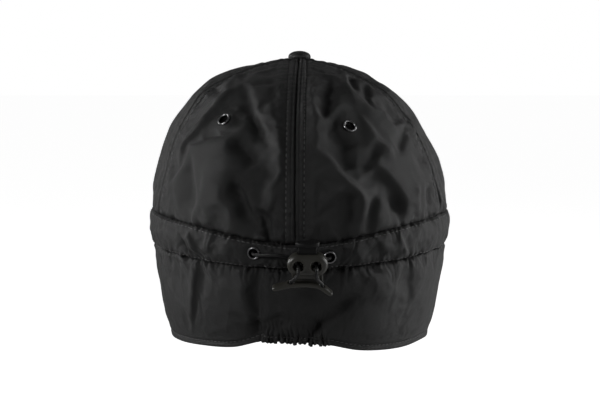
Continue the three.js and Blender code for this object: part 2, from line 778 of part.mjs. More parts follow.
// The plunger's blade has a neck, a tongue between the bores and a bar under the cords
function lockPlunger() {
  const neck = PLUNGER.slotHalfWidth - PLUNGER.clearance;
  const depth = 2 * (PLUNGER.slotHalfDepth - PLUNGER.clearance);
  const blade = new THREE.Shape();
  const half = [
    [neck, PLUNGER.capBottom + PLUNGER.capOverlap],
    [neck, PLUNGER.neckBottom],
    [PLUNGER.tongueHalfWidth, PLUNGER.neckBottom],
    [PLUNGER.tongueHalfWidth, PLUNGER.barTop],
    [neck, PLUNGER.barTop],
    [neck, PLUNGER.barBottom],
  ];
  half.forEach(([x, y], i) => (i ? blade.lineTo(x, y) : blade.moveTo(x, y)));
  half.reverse().forEach(([x, y]) => blade.lineTo(-x, y));
  blade.closePath();
  const stem = new THREE.ExtrudeGeometry(blade, { depth, bevelEnabled: false }).translate(0, 0, -depth / 2);
  const capShape = new THREE.Shape();
  capShape.absellipse(0, 0, PLUNGER.capHalfWidth, PLUNGER.capHalfDepth, 0, 2 * Math.PI);
  const top = extruded(capShape, PLUNGER.capTop - PLUNGER.capBottom, PLUNGER.capBevel, 2);
  return join(stem, top.rotateX(-Math.PI / 2).translate(0, PLUNGER.capBottom, 0));
}

for (const panel of PANELS) add(`crown_panel_${panel.name}`, crownPanel(panel), MATERIALS.cloth);
add("drawcord_tunnel", drawcordTunnel(), MATERIALS.cloth);
add("ear_flap", earFlap(), MATERIALS.cloth);
add("peak", peak(), MATERIALS.peak);
add("top_button", topButton(), MATERIALS.button);
for (const vent of VENT_EYELETS) {
  const ring = add(vent.name, eyelet(CLOTH + EYELET.lift, true), MATERIALS.eyelet);
  ring.applyMatrix4(eyeletFrame(smoothShell, vent.azimuth, vent.height));
}
for (const eye of CORD_EYELETS) {
  const ring = add(eye.name, eyelet(EYELET.tunnelDepth, false), MATERIALS.eyelet);
  ring.applyMatrix4(eyeletFrame(tunnelOuter, eye.azimuth, eye.height));
}
CORDS.forEach((cord, i) => add(cord.name, drawcord(CORD_EYELETS[i], cord), MATERIALS.cord));
cap.add(lockFrame);
add("cord_lock_body", lockBody(), MATERIALS.lock, lockFrame);
add("cord_lock_plunger", lockPlunger(), MATERIALS.plunger, lockFrame);

export default cap;
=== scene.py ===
"""A black nylon earflap cap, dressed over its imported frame: cloth, seams, cord, cord lock and light."""

import math
from collections import defaultdict, namedtuple

import bmesh
import bpy
import numpy as np
from mathutils import Matrix, Vector, noise
from mathutils.bvhtree import BVHTree


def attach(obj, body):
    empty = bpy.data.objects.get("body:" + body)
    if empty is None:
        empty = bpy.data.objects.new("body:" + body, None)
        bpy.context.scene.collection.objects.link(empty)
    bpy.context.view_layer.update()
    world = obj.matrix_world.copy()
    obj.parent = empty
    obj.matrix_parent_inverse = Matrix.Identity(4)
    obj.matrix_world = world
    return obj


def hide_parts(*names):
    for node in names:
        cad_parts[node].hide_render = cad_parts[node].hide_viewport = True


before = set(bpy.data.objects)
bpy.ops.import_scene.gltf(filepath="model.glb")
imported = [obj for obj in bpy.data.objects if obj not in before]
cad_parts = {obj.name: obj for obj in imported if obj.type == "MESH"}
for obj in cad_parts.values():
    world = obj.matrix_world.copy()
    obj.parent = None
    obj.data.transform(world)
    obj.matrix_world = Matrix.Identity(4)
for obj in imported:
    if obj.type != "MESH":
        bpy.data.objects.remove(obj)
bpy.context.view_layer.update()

bl_info = {
    "name": "Earflap cap",
    "version": (1, 0, 0),
    "blender": (4, 5, 0),
    "location": "3D View > Sidebar > Earflap Cap",
    "description": "Dresses the frame of a nylon earflap cap",
    "category": "Object",
}

# Lengths here are in millimetres, as the cap's pattern is, and azimuths are in degrees round the
# head: 0 at the nape, +90 at the right ear, 180 in front.
MM = 0.001

# The crown's outer surface
HALF_WIDTH = 89.4
HALF_DEPTH = 105.5
WIDEST_HEIGHT = 22
DOME_HEIGHT = 90.8
LEFT_POWER = 2.2
RIGHT_POWER = 1.95
BACK_POWER = 2.15
FRONT_POWER = 2.7
RIM_PINCH = 0.027
TIP_ANGLE = 88.8

# How far the crown's sides fill out near its top, and are drawn in above the tunnel
FULL_HEIGHT = 93
LEFT_FULLNESS = 2.6
RIGHT_FULLNESS = 1.8
DRAWN_HEIGHT = 52
LEFT_DRAW = 2.4
RIGHT_DRAW = 0.8

# The tunnel's two stitch lines and the flap's taper
EAR_RIM = 4
RIM_SPREAD = 50
TUNNEL_TOP = 24
TUNNEL_DIP = 10
DIP_SPREAD = 34
TUNNEL_END = 123.4
FLAP_TAPER = 0.008
TAPER_POWER = 1.8
NAPE_TAPER = 0.35

# Panel seams, from the nape round the right side to the front
BACK_SEAM = -1.6
SIDE_SEAM = 68
FRONT_SEAM = 124

# A panel runs from its start to its end azimuth and ends below at the tunnel or at the rim
Panel = namedtuple("Panel", "name start end columns rows over_tunnel")
PANELS = (
    Panel("back_right", BACK_SEAM, SIDE_SEAM, 58, 72, True),
    Panel("side_right", SIDE_SEAM, FRONT_SEAM, 40, 60, True),
    Panel("front_right", FRONT_SEAM, 180, 40, 60, False),
    Panel("front_left", -180, -FRONT_SEAM, 40, 60, False),
    Panel("side_left", -FRONT_SEAM, -SIDE_SEAM, 40, 60, True),
    Panel("back_left", -SIDE_SEAM, BACK_SEAM, 58, 72, True),
)

FOLD_STRENGTH = 1.1
FOLD_DRIFT = 1.1
FOLD_LEAN = 0.4
SLOPE_REACH = 2.6

# Folds run through points of azimuth and height. Rise is how far they stand out, and width is about
# half of their breadth. A slope is a step of the cloth from one side of its line to the other.
Fold = namedtuple("Fold", "azimuth height width rise sharp", defaults=(False,))
Slope = namedtuple("Slope", "azimuth height width step")
CROWN_FOLDS = (
    Fold((-59.8, -45, -45.2, -48.2, -54, -56), (104.5, 95, 87.2, 76, 65.5, 56.2), 3.4, 2.6),
    Fold((-58.2, -59, -62), (99, 92.2, 84), 3.4, -2.2),
    Fold((-51.5, -55.5), (82.5, 72.2), 3, -1.4),
    Fold((-54.5, -55.2), (67.8, 62), 1.8, 1.3, sharp=True),
    Fold((-32.8, -25.2, -19, -12.8), (96.5, 86, 76.5, 69.2), 4, -3.8),
    Fold((-16.5, -12, -9.2), (90.5, 81, 71.5), 4, 1.2),
    Fold((-29, -21.8, -15.8), (74, 65.8, 58.5), 5.2, -3.2),
    Fold((-9, -7.8, -7.8, -9.8, -10.5), (74.8, 65.2, 55.5, 44.8, 34.8), 4, 1.8),
    Fold((-27.5, -22.8, -18.8), (52.5, 50, 44.8), 1.8, -1.8, sharp=True),
    Fold((-26.2, -21.5, -16.8), (48.2, 37, 23.5), 4.2, -5),
    Fold((-15.5, -12, -11.2), (34.5, 27.5, 18), 3, -4.4),
    Fold((-48.2, -45, -44), (58.2, 41.8, 23.8), 5.5, -2.4),
    Fold((-62.2, -59.5), (54.2, 38.5), 4, 1.4),
    Fold((-39.8, -41.5, -42), (33.5, 27.5, 21.8), 1.5, 1.8, sharp=True),
    Fold((10.8, 7.5, 6.8, 8.8, 14.8, 20.2, 24.5, 25), (103.2, 90.2, 77, 65.2, 53.2, 45.8, 37.2, 25), 4.5,
         2.6),
    Fold((28.8, 18, 12.2), (103, 94.2, 85.2), 4.2, -3.2),
    Fold((51.2, 35.2, 33.2), (106.2, 98.8, 87.5), 1.9, 2.2, sharp=True),
    Fold((52.5, 42.2), (104.2, 97.2), 2.6, -2),
    Fold((57.8, 44, 42.8), (99, 93, 87), 2.8, -2.2),
    Fold((49.2, 46.2, 49.2, 59.8), (88.2, 80.8, 76, 78.5), 2.6, 1.7),
    Fold((54.5, 57.2), (88, 80.5), 3.2, -1.6),
    Fold((32.8, 35.5, 39.5, 40.2), (83.5, 70.5, 64.8, 59), 3.4, 2),
    Fold((20.5, 20, 21.2), (75.5, 65.8, 55), 7, -3),
    Fold((35.5, 30.2, 25.8), (66, 59.8, 54.2), 3.2, -2.2),
    Fold((56, 45.8), (74.2, 63), 4, -2),
    Fold((27.2, 33, 39.2, 42.5), (58, 48.8, 37, 27.5), 6.5, -3),
    Fold((51.2, 50.2, 52), (44.5, 36.5, 27.2), 1.6, 2, sharp=True),
    Fold((59, 58), (43.2, 30.8), 3, -1.4),
    Fold((19, 18.5, 18.2), (43.2, 32.2, 17.8), 4.6, -2.8),
    Fold((30.8, 27.5, 26.2), (41.2, 30.2, 19.2), 3.4, -2.4),
    Fold((39.5, 39.5), (40.2, 23.2), 4, -1.6),
    Fold((70.5, 60, 63.8), (80, 67.2, 49.5), 3.5, 1.6),
    Fold((95, 92, 98), (84, 66, 46), 9, -1.8),
    Fold((-92, -97, -90), (80, 60, 42), 10, -1.8),
    Fold((150, 146), (80, 52), 11, -1.3),
    Fold((-152, -149), (74, 48), 11, -1.3),
)
CROWN_SLOPES = (
    Slope((-57, -36.8, -29.2, -24.8, -18), (93.5, 78, 62.2, 46, 18.8), 10, -6.4),
    Slope((-12.2, -10, -11.5, -12), (80, 62, 44.5, 31.5), 4, 3),
    Slope((-40, -38.5, -40), (57, 44.8, 29), 3, 2),
    Slope((21, 14, 13.2, 17.2), (101, 86.2, 71.5, 60.5), 5, -3),
    Slope((34.8, 29, 28.5), (85.8, 75.2, 64.2), 3.5, 1.8),
)
BAND_FOLDS = (
    Fold((-44.8, -40.8), (19.8, 7), 2.2, 2.2, sharp=True),
    Fold((-49, -45.8), (13.8, 5), 3, -2.2),
    Fold((-16.8, -12.8, -10.2), (17.2, 19.8, 13.5), 1.6, 1.8, sharp=True),
    Fold((-14.8, -11.8), (14.5, 15.2), 2, -1.6),
    Fold((-27.5, -26.8), (15.8, 5.5), 4, 0.9),
    Fold((16.2, 15), (12.8, 4.2), 2.4, -1.3, sharp=True),
    Fold((28, 31.5), (14.5, 4.8), 2.4, -1.3, sharp=True),
    Fold((38.5, 42.5), (16.5, 5.5), 3, 1.3, sharp=True),
)
FLAP_FOLDS = (
    Fold((-42.5, -44.8, -50), (2, -15.8, -41), 3.2, 1.8),
    Fold((-39, -40.8, -44.8), (-1, -19.8, -38.5), 4, -0.9),
    Fold((-19.8, -19.8, -19.5), (-2, -18, -31), 4, 1.4),
    Fold((-15.2, -15.5, -16), (6.5, -10.8, -30.8), 4, -3),
    Fold((-17, -15.2), (-29.5, -40.2), 3.6, -3.4),
    Fold((20, 12.5, 4.5), (-17, -28, -38.5), 5, -3),
    Fold((8.8, 3.8), (-31.5, -39.8), 2.2, -2.6, sharp=True),
    Fold((-9, -5.8), (-25.5, -35), 4, -1.8),
    Fold((31.5, 34.8), (-1, -22.2), 7, 1.3),
    Fold((46.8, 46.8, 45.5), (-1, -22.2, -38.8), 6, -1.6),
    Fold((-54.5, -56), (2.2, -20.5), 5, -1.6),
    Fold((82, 86), (-6, -40), 9, -1.2),
    Fold((-84, -88), (-6, -40), 9, -1.2),
)

# How far the hem hangs below the origin, round the head
HEM_AZIMUTH = (
    -122.6, -119, -113, -104, -90, -65, -46, -28, -15, 0, 11, 26, 48, 66, 90, 104, 113, 119, 122.6,
)
HEM_DROP = (3, 14, 31, 46, 51, 50.5, 49, 47, 42.3, 42.5, 44, 48.8, 51, 50.5, 51.5, 46, 31, 14, 3)
RUFFLE_START = -15
RUFFLE_END = 11

# Eyelets, by the azimuth and height of their middles
VENT_EYELETS = {"left": (-37.1, 81.4), "right": (24.4, 78.6)}
CORD_EYELETS = {"left": (-16.6, 9.4), "right": (10.9, 7.4)}
EYELET_PROFILE = (
    (2.72, -2.2), (2.6, -1), (2.56, 0.1), (2.62, 0.5), (2.82, 0.8), (3.1, 0.9), (3.4, 0.8), (3.62, 0.5),
    (3.68, 0.25), (3.3, 0.1), (2.95, -0.2), (2.95, -2.2),
)
BARREL_TOP = 0.35
VENT_WIDTH = 1.1
EYELET_LIFT = 0.2
CLOTH_HOLE = 3.1
BACKING_OVERLAP = 3.5
BACKING_END = TUNNEL_END + 3

# The cord lock's frame: x to the right, y up along its plunger, z out from the cap
LOCK_PLACE = (4.4, -114, 5)
LOCK_LEAN = 12
LOBE_OFFSET = 4.9
LOBE_RADIUS = 6.3
BORE_OFFSET = 5
BORE_RADIUS = 2.65
BORE_MOUTH = 3.15
EYE_RADIUS = 1.5
EYE_MOUTH = 2.1
LOBE_DEPTH = 5.7
SLOT_HALF_WIDTH = 5.3
SLOT_HALF_DEPTH = 2.1
BLADE_HALF_WIDTH = 4.95
BLADE_HALF_DEPTH = 1.75
BLADE_NECK = 2.2
CAP_HALF_WIDTH = 6.6
CAP_HALF_DEPTH = 3.6
CAP_HEIGHT = 2.7
CAP_SEAT = 10.2
MOULDING_VOXEL = 0.2

# The lock's slabs: back, front, rounding and its steps. The waist and the shelf over the wings are
# rectangles of half width, top and bottom.
LOCK_SLABS = {
    "barrel": (-4.6, 4.4, 2.6, 5),
    "waist": (-3, 2.9, 0.7, 3),
    "shelf": (-3, 0.8, 0.6, 3),
    "foot": (-2.4, 4.2, 1, 4),
}
WAIST = (6.3, -2, -8)
SHELF = (8.6, -2, -11.8)
BLADE_HEIGHTS = (10.7, 4.2, -1.35, -3.7)

# Corners round the foot, whose two wings droop, the right one more
FOOT_OUTLINE = (
    (-10.7, -10.1), (-13.2, -11.1), (-16.4, -11.8), (-18.6, -12.5), (-19.4, -13.6), (-18.6, -14.8),
    (-15.1, -14.2), (-10.7, -13.2), (-2.4, -12.5), (5.8, -13.4), (9.1, -15.6), (12.2, -17.5),
    (13.6, -17.3), (13.8, -16.2), (12.4, -15), (9.6, -12.6), (4, -10.3), (-4, -9.9),
)

# Each cord's way out of its eyelet, as distance towards the lock and height over the cloth, and then
# its way in the lock's frame: behind the barrel, through its bore and down into the foot
CORD_FROM_EYELET = ((0, -1.7), (0, 0.7), (0.9, 2.4), (3.4, 3.1))
CORDS = (
    {
        "side": "left",
        "sign": -1,
        "in_lock": (
            (-16, 3.2, -5.2), (-7.2, 0.5, -6.8), (-5, 0, -3.8), (-5, 0, 3), (-5, -1.6, 6.3),
            (-5.7, -4.9, 6.1), (-7.5, -7.6, 4.4), (-9, -9.3, 2.6), (-9.2, -10.6, 2.3), (-9.2, -12.3, 2.3),
        ),
    },
    {
        "side": "right",
        "sign": 1,
        "in_lock": (
            (7.2, 0.5, -6.8), (5, 0, -3.8), (5, 0, 3), (4.95, -1.6, 6.3), (5.05, -4.9, 6.1),
            (6, -8.2, 4.6), (7.8, -10.6, 2.7), (8.15, -11.9, 2.35), (8.2, -13.6, 2.3),
        ),
    },
)


class CapSizes(bpy.types.PropertyGroup):
    """Sizes of the cloth's own relief"""

    cloth_thickness: bpy.props.FloatProperty(
        name="Cloth thickness", description="Thickness of a crown panel", default=1.6 * MM, unit="LENGTH"
    )
    flap_thickness: bpy.props.FloatProperty(
        name="Flap thickness", description="Thickness of the ear flap", default=2.0 * MM, unit="LENGTH"
    )
    seam_band: bpy.props.FloatProperty(
        name="Seam band", description="Distance of the topstitching from a crown seam", default=5.0 * MM,
        unit="LENGTH",
    )
    pucker_height: bpy.props.FloatProperty(
        name="Pucker height", description="How far the gathers stand out beside the tunnel's stitching",
        default=1.2 * MM, unit="LENGTH",
    )
    ruffle_height: bpy.props.FloatProperty(
        name="Ruffle height", description="How far the elastic hem's ruffles stand out", default=1.4 * MM,
        unit="LENGTH",
    )
    spare_cloth: bpy.props.FloatProperty(
        name="Spare cloth", description="Share of length that the cloth is too long by, so that it buckles",
        default=0.04, min=0, max=0.2, subtype="FACTOR",
    )
    stitch_length: bpy.props.FloatProperty(
        name="Stitch length", description="Distance from one stitch to the next", default=2.9 * MM,
        unit="LENGTH",
    )
    cord_radius: bpy.props.FloatProperty(
        name="Cord radius", description="Radius of the elastic cord", default=1.0 * MM, unit="LENGTH"
    )


class CapColours(bpy.types.PropertyGroup):
    """Colours of the cap's finishes"""

    cloth: bpy.props.FloatVectorProperty(
        name="Cloth", description="Black nylon", default=(0.0092, 0.0092, 0.0092), subtype="COLOR"
    )
    thread: bpy.props.FloatVectorProperty(
        name="Thread", description="Sewing thread", default=(0.045, 0.045, 0.045), subtype="COLOR"
    )
    metal: bpy.props.FloatVectorProperty(
        name="Eyelets", description="Black nickel", default=(0.22, 0.22, 0.224), subtype="COLOR"
    )
    cord: bpy.props.FloatVectorProperty(
        name="Cord", description="Braided elastic cord", default=(0.006, 0.006, 0.006), subtype="COLOR"
    )
    plastic: bpy.props.FloatVectorProperty(
        name="Plastic", description="Moulded dark grey plastic", default=(0.028, 0.027, 0.022),
        subtype="COLOR",
    )
    plunger: bpy.props.FloatVectorProperty(
        name="Plunger", description="Moulded black plastic", default=(0.004, 0.004, 0.004), subtype="COLOR"
    )
    floor: bpy.props.FloatVectorProperty(
        name="Floor", description="Pale studio floor", default=(0.92, 0.92, 0.92), subtype="COLOR"
    )


class CapStudio(bpy.types.PropertyGroup):
    """The camera and the light"""

    distance: bpy.props.FloatProperty(
        name="Distance", description="From the camera to the middle of the cap", default=1.2, unit="LENGTH"
    )
    elevation: bpy.props.FloatProperty(
        name="Elevation", description="Angle of the camera above the cap", default=math.radians(6),
        subtype="ANGLE",
    )
    lens: bpy.props.FloatProperty(
        name="Lens", description="Focal length in millimetres on a 36 mm sensor", default=118.8
    )
    sky: bpy.props.FloatProperty(
        name="Sky", description="Strength of the light from all round", default=0.09
    )


# The surface of the cap


def smooth_step(value, low, high):
    t = np.clip((value - low) / (high - low), 0, 1)
    return t * t * (3 - 2 * t)


def hump(distance, spread, power=2):
    """1 at no distance, and close to 0 beyond twice the spread."""
    return np.exp(-((distance / spread) ** power))


def dome_angle(height):
    """Angle up the dome, or a share of its height below its widest line."""
    up = (height - WIDEST_HEIGHT) / DOME_HEIGHT
    return np.where(up < 0, up, np.arcsin(np.clip(up, 0, 1)))


def dome_rise(angle):
    """The height that belongs to an angle up the dome."""
    return WIDEST_HEIGHT + DOME_HEIGHT * np.where(angle < 0, angle, np.sin(angle))


def dome_share(angle, power):
    """Share of the full radius that the dome has at an angle, negative below its widest line."""
    below = angle * DOME_HEIGHT / WIDEST_HEIGHT
    above = np.sin(np.clip(angle, 0, math.pi / 2))
    return np.where(angle < 0, 1 - RIM_PINCH * below**2, (1 - above**power) ** (1 / power))


def shell(azimuth, height):
    """The smooth cap: points for arrays of azimuth and height."""
    azimuth, height = np.broadcast_arrays(np.asarray(azimuth, float), np.asarray(height, float))
    turn = np.radians(azimuth)
    back = np.cos(turn)
    angle = dome_angle(np.maximum(height, 0))
    inset = FLAP_TAPER * np.maximum(-height, 0) ** TAPER_POWER
    depth = np.where(back > 0, dome_share(angle, BACK_POWER), dome_share(angle, FRONT_POWER))
    side = np.where(np.sin(turn) > 0, dome_share(angle, RIGHT_POWER), dome_share(angle, LEFT_POWER))
    x = (HALF_WIDTH * side - inset) * np.sin(turn)
    y = -(HALF_DEPTH * depth - inset * (1 + NAPE_TAPER * np.maximum(back, 0))) * back
    return np.stack((x, y, height), axis=-1)


def outward(azimuth, height):
    """Outward directions of the smooth cap."""
    span = 0.6
    along = shell(azimuth + span, height) - shell(azimuth - span, height)
    up = shell(azimuth, height + span) - shell(azimuth, height - span)
    across = np.cross(along, up)
    return across / np.linalg.norm(across, axis=-1, keepdims=True)


def round_scale(azimuth, height):
    """Millimetres round the smooth cap for each radian of azimuth."""
    span = 0.3
    run = shell(azimuth + span, height) - shell(azimuth - span, height)
    return np.linalg.norm(run, axis=-1) / math.radians(2 * span)


def rim_height(azimuth):
    return EAR_RIM * (1 - hump(azimuth, RIM_SPREAD))


def tunnel_top(azimuth):
    return TUNNEL_TOP - TUNNEL_DIP * hump(azimuth, DIP_SPREAD)


def hem_height(azimuth):
    """A smooth curve through the hem's points."""
    x = np.array(HEM_AZIMUTH, float)
    y = -np.array(HEM_DROP, float)
    slope = np.empty_like(y)
    slope[1:-1] = (y[2:] - y[:-2]) / (x[2:] - x[:-2])
    slope[0] = (y[1] - y[0]) / (x[1] - x[0])
    slope[-1] = (y[-1] - y[-2]) / (x[-1] - x[-2])
    i = np.clip(np.searchsorted(x, azimuth) - 1, 0, len(x) - 2)
    width = x[i + 1] - x[i]
    t = np.clip((azimuth - x[i]) / width, 0, 1)
    ease = t * t * (3 - 2 * t)
    bend = width * (slope[i] * t * (1 - t) ** 2 - slope[i + 1] * t * t * (1 - t))
    return y[i] * (1 - ease) + y[i + 1] * ease + bend


def nearest_on_line(points, line):
    """Distance of each point to a polyline, the share of its run there, and the distance to its side."""
    gap = np.full(len(points), np.inf)
    share = np.zeros(len(points))
    side = np.zeros(len(points))
    for i, (a, b) in enumerate(zip(line[:-1], line[1:])):
        edge = b - a
        along = np.clip((points - a) @ edge / (edge @ edge), 0, 1)
        offset = points - a - along[:, None] * edge
        here = np.linalg.norm(offset, axis=1)
        turn = np.cross(edge, offset)
        turned = (turn[:, 0] * points[:, 0] + turn[:, 1] * points[:, 1]) / (
            np.linalg.norm(edge) * np.linalg.norm(points[:, :2], axis=1)
        )
        share = np.where(here < gap, (i + along) / (len(line) - 1), share)
        side = np.where(here < gap, turned, side)
        gap = np.minimum(gap, here)
    return gap, share, side


def fold_rise(points):
    """How far the folds and slopes stand out at each point."""
    x, y, z = points.T
    drift = np.stack([wobble(x / 16 + seed, (y + z) / 16, seed) for seed in (2, 19, 37)], axis=-1)
    drifted = points + FOLD_DRIFT * drift
    uneven = 1 + 0.25 * wobble(x / 14, (y + z) / 14, 53)
    rise = np.zeros(len(points))
    for fold in (*CROWN_FOLDS, *BAND_FOLDS, *FLAP_FOLDS):
        gap, share, side = nearest_on_line(drifted, shell(fold.azimuth, fold.height))
        fade = smooth_step(share, -0.08, 0.24) * smooth_step(1 - share, -0.08, 0.24)
        lean = 1 - FOLD_LEAN * np.tanh(side / fold.width)
        gap = gap / (fold.width * (0.55 + 0.45 * fade) * lean)
        crest = np.exp(-np.sqrt(gap**2 + 0.04) * 1.2 + 0.24) if fold.sharp else np.exp(-(gap**2))
        rise += FOLD_STRENGTH * fold.rise * (0.2 + 0.8 * fade) * crest
    for slope in CROWN_SLOPES:
        gap, share, side = nearest_on_line(drifted, shell(slope.azimuth, slope.height))
        fade = smooth_step(share, -0.05, 0.35) * smooth_step(1 - share, -0.05, 0.35)
        reach = hump(gap, SLOPE_REACH * slope.width)
        rise += 0.5 * slope.step * fade * np.tanh(side / slope.width) * reach
    return rise * uneven


def wobble(x, y, seed):
    """Smooth random values between about -1 and 1 over two coordinates."""
    flat = np.stack((x, y, np.full_like(x, seed)), axis=-1)
    return np.fromiter((noise.noise(Vector(p)) for p in flat), float, len(flat)) * 1.6


def along_rim(azimuth):
    """Millimetres round the rim from the nape."""
    turn = np.radians(azimuth)
    mean = (HALF_WIDTH + HALF_DEPTH) / 2
    return mean * turn - (HALF_DEPTH - HALF_WIDTH) / 4 * np.sin(2 * turn)


# Gathers beside a stitch line: how broad they are along it and across it, how much they slant, how far
# from it they reach and how high they are. The billowed ones are rounded swells with sharp valleys.
Pucker = namedtuple("Pucker", "breadth length slant reach height seed billowed")
PUCKERS = (
    Pucker(2.3, 6, 0.5, 1.7, 0.9, 3, billowed=True),
    Pucker(4.2, 9, 1, 4, 1.3, 5, billowed=True),
    Pucker(10, 18, 1, 12, 1.1, 7, billowed=False),
)


def stitch_puckers(azimuth, from_line, seed):
    """Uneven gathers that leave a stitch line on both sides: the broader, the farther they reach."""
    u = along_rim(azimuth)
    away = np.abs(from_line)
    slant = 0.8 * wobble(u / 12, from_line / 20, seed) * away
    gathered = 0.75 + 0.5 * wobble(u / 30, u * 0, seed + 9)
    rise = 0
    for row in PUCKERS:
        swell = wobble((u + row.slant * slant) / row.breadth, from_line / row.length, seed + row.seed)
        if row.billowed:
            swell = 1.7 * np.abs(swell) - 0.55
        rise = rise + row.height * (swell * np.exp(-away / row.reach))
    return gathered * rise


# A pressed seam: its groove, and a raised band that ends in a topstitch line and in a soft flank
SEAM_DEPTH = 1.3
SEAM_WIDTH = 0.8
SIDE_SEAM_WIDENING = 1.5
FOLD_LINE = 2.2
FOLD_LINE_DEPTH = 0.45
FOLD_LINE_WIDTH = 0.55
BAND_HEIGHT = 0.4
STITCH_PINCH = 0.35
PINCH_WIDTH = 0.7
FLANK_HEIGHT = 0.7
FLANK_DISTANCE = 4.5
FLANK_WIDTH = 3.2
RIPPLE_HEIGHT = 0.2
RIPPLE_LENGTH = 3.4
RIPPLE_REACH = 3.5


def seam_relief(azimuth, height, band):
    """The pressed seams of the crown: a groove, two raised bands and a pinch at each topstitch line."""
    radius = round_scale(azimuth, height)
    relief = np.zeros_like(radius)
    above = smooth_step(height - tunnel_top(azimuth), 0, 4)
    for seam in (BACK_SEAM, SIDE_SEAM, -SIDE_SEAM, FRONT_SEAM, -FRONT_SEAM, 180, -180):
        gap = np.abs(azimuth - seam) * math.pi / 180 * radius
        over = 1 if abs(seam) > FRONT_SEAM else above
        wide = SIDE_SEAM_WIDENING if abs(seam) == SIDE_SEAM else 1
        groove = -SEAM_DEPTH * wide * hump(gap, SEAM_WIDTH * wide)
        groove -= FOLD_LINE_DEPTH * hump(gap - FOLD_LINE * wide, FOLD_LINE_WIDTH)
        raised = BAND_HEIGHT * (1 - smooth_step(gap, band - 0.8, band + 0.5))
        pinch = -STITCH_PINCH * hump(gap - band, PINCH_WIDTH)
        flank = FLANK_HEIGHT * hump(gap - band - FLANK_DISTANCE, FLANK_WIDTH)
        relief += over * (groove + raised + pinch + flank)
        ripple = wobble(height / RIPPLE_LENGTH + 0 * gap, gap / 9 + seam, 31)
        ripple = ripple * np.exp(-np.abs(gap - band) / RIPPLE_REACH)
        relief += RIPPLE_HEIGHT * over * ripple * smooth_step(gap, 1, 3)
    return relief


# How far round an eyelet the cloth stays flat, free of its folds and of its fine relief
EYELET_CALM = 7
EYELET_CALM_FINE = 5.5
EYELET_CALM_EDGE = 2.5


def flat_near_eyelets(points, reach):
    share = np.ones(len(points))
    for azimuth, height in (*VENT_EYELETS.values(), *CORD_EYELETS.values()):
        gap = np.linalg.norm(points - shell(azimuth, height), axis=1)
        share *= 1 - hump(gap, reach, EYELET_CALM_EDGE)
    return share


def settle(azimuth, height):
    """How the sides of the crown fill out near the top and are drawn in above the tunnel."""
    sine = np.sin(np.radians(azimuth))
    full = np.where(sine < 0, LEFT_FULLNESS, RIGHT_FULLNESS) * hump(height - FULL_HEIGHT, 8)
    drawn = np.where(sine < 0, LEFT_DRAW, RIGHT_DRAW) * hump(height - DRAWN_HEIGHT, 17)
    return (full - drawn) * sine**2


def broad_relief(azimuth, height):
    """Folds that the whole cloth follows."""
    points = shell(azimuth, height)
    return fold_rise(points) * flat_near_eyelets(points, EYELET_CALM) + settle(azimuth, height)


# A stitch line of the tunnel: how far it wanders, its groove, and the groove's uneven depth
LINE_WANDER = 0.8
LINE_WIDTH = 1.3
LINE_DEPTH = 1.2
LINE_UNEVENNESS = 0.8


def line_relief(azimuth, height, pucker):
    """The grooves of the tunnel's two stitch lines and the gathers beside them."""
    u = along_rim(azimuth)
    beside = smooth_step(TUNNEL_END + 2 - np.abs(azimuth), 0, 8)
    relief = np.zeros(len(azimuth))
    for line, seed in ((tunnel_top(azimuth), 11), (rim_height(azimuth), 47)):
        from_line = height - line
        wandering = from_line + LINE_WANDER * hump(from_line, 6) * wobble(u / 3.4, u * 0, seed + 1)
        relief += beside * pucker * stitch_puckers(azimuth, from_line, seed)
        depth = LINE_DEPTH + LINE_UNEVENNESS * wobble(u / 2.6, u * 0, seed + 2)
        relief -= beside * depth * hump(wandering, LINE_WIDTH)
    return relief


# The hem's rolled edge and the groove of its stitching, as distances above its end
HEM_ROLL = 1.9
HEM_STITCHES = 2.8
HEM_ROLL_HEIGHT = 0.45
HEM_STITCH_DEPTH = 0.5
RUFFLE_LENGTH = 3
RUFFLE_REACH = 4.5
RUFFLE_FLARE = 0.9

# The tunnel's puff between its lines, fuller at the nape
TUNNEL_PUFF = 0.9
NAPE_PUFF = 0.8
PUFF_POWER = 0.7


def ruffles(azimuth, above_hem):
    """Waves of the hem between the ends of its elastic."""
    u = along_rim(azimuth)
    ruffled = smooth_step(azimuth, RUFFLE_START - 2.5, RUFFLE_START + 1)
    ruffled *= 1 - smooth_step(azimuth, RUFFLE_END - 1, RUFFLE_END + 2.5)
    wave = np.sin(2 * math.pi * (u + 1.3 * wobble(u / 6, above_hem / 6, 5)) / RUFFLE_LENGTH)
    share = 0.8 + 0.6 * wobble(u / 4, above_hem / 5, 9)
    return ruffled, wave * share * np.exp(-above_hem / RUFFLE_REACH) + RUFFLE_FLARE * np.exp(-above_hem / 5)


def fine_relief(azimuth, height, sizes):
    """Grooves, puckers, pressed seams, the tunnel's puff, the hem and its ruffles."""
    top = tunnel_top(azimuth)
    rim = rim_height(azimuth)
    relief = line_relief(azimuth, height, sizes.pucker_height / MM)
    middle = np.clip((height - rim) / (top - rim), 0, 1)
    puff = TUNNEL_PUFF + NAPE_PUFF * hump(azimuth, RIM_SPREAD)
    relief += puff * (4 * middle * (1 - middle)) ** PUFF_POWER
    over = height > top - 0.01
    relief += seam_relief(azimuth, height, sizes.seam_band / MM) * (over | (np.abs(azimuth) > TUNNEL_END))
    above_hem = height - hem_height(azimuth)
    on_flap = smooth_step(rim - height, 0, 3)
    relief += on_flap * HEM_ROLL_HEIGHT * hump(above_hem, HEM_ROLL, 4)
    relief -= on_flap * HEM_STITCH_DEPTH * hump(above_hem - HEM_STITCHES, PINCH_WIDTH)
    ruffled, ruffle = ruffles(azimuth, above_hem)
    relief += on_flap * ruffled * sizes.ruffle_height / MM * ruffle
    calm = flat_near_eyelets(shell(azimuth, height), EYELET_CALM_FINE)
    return relief * (0.15 + 0.85 * calm)


# Making and finishing meshes


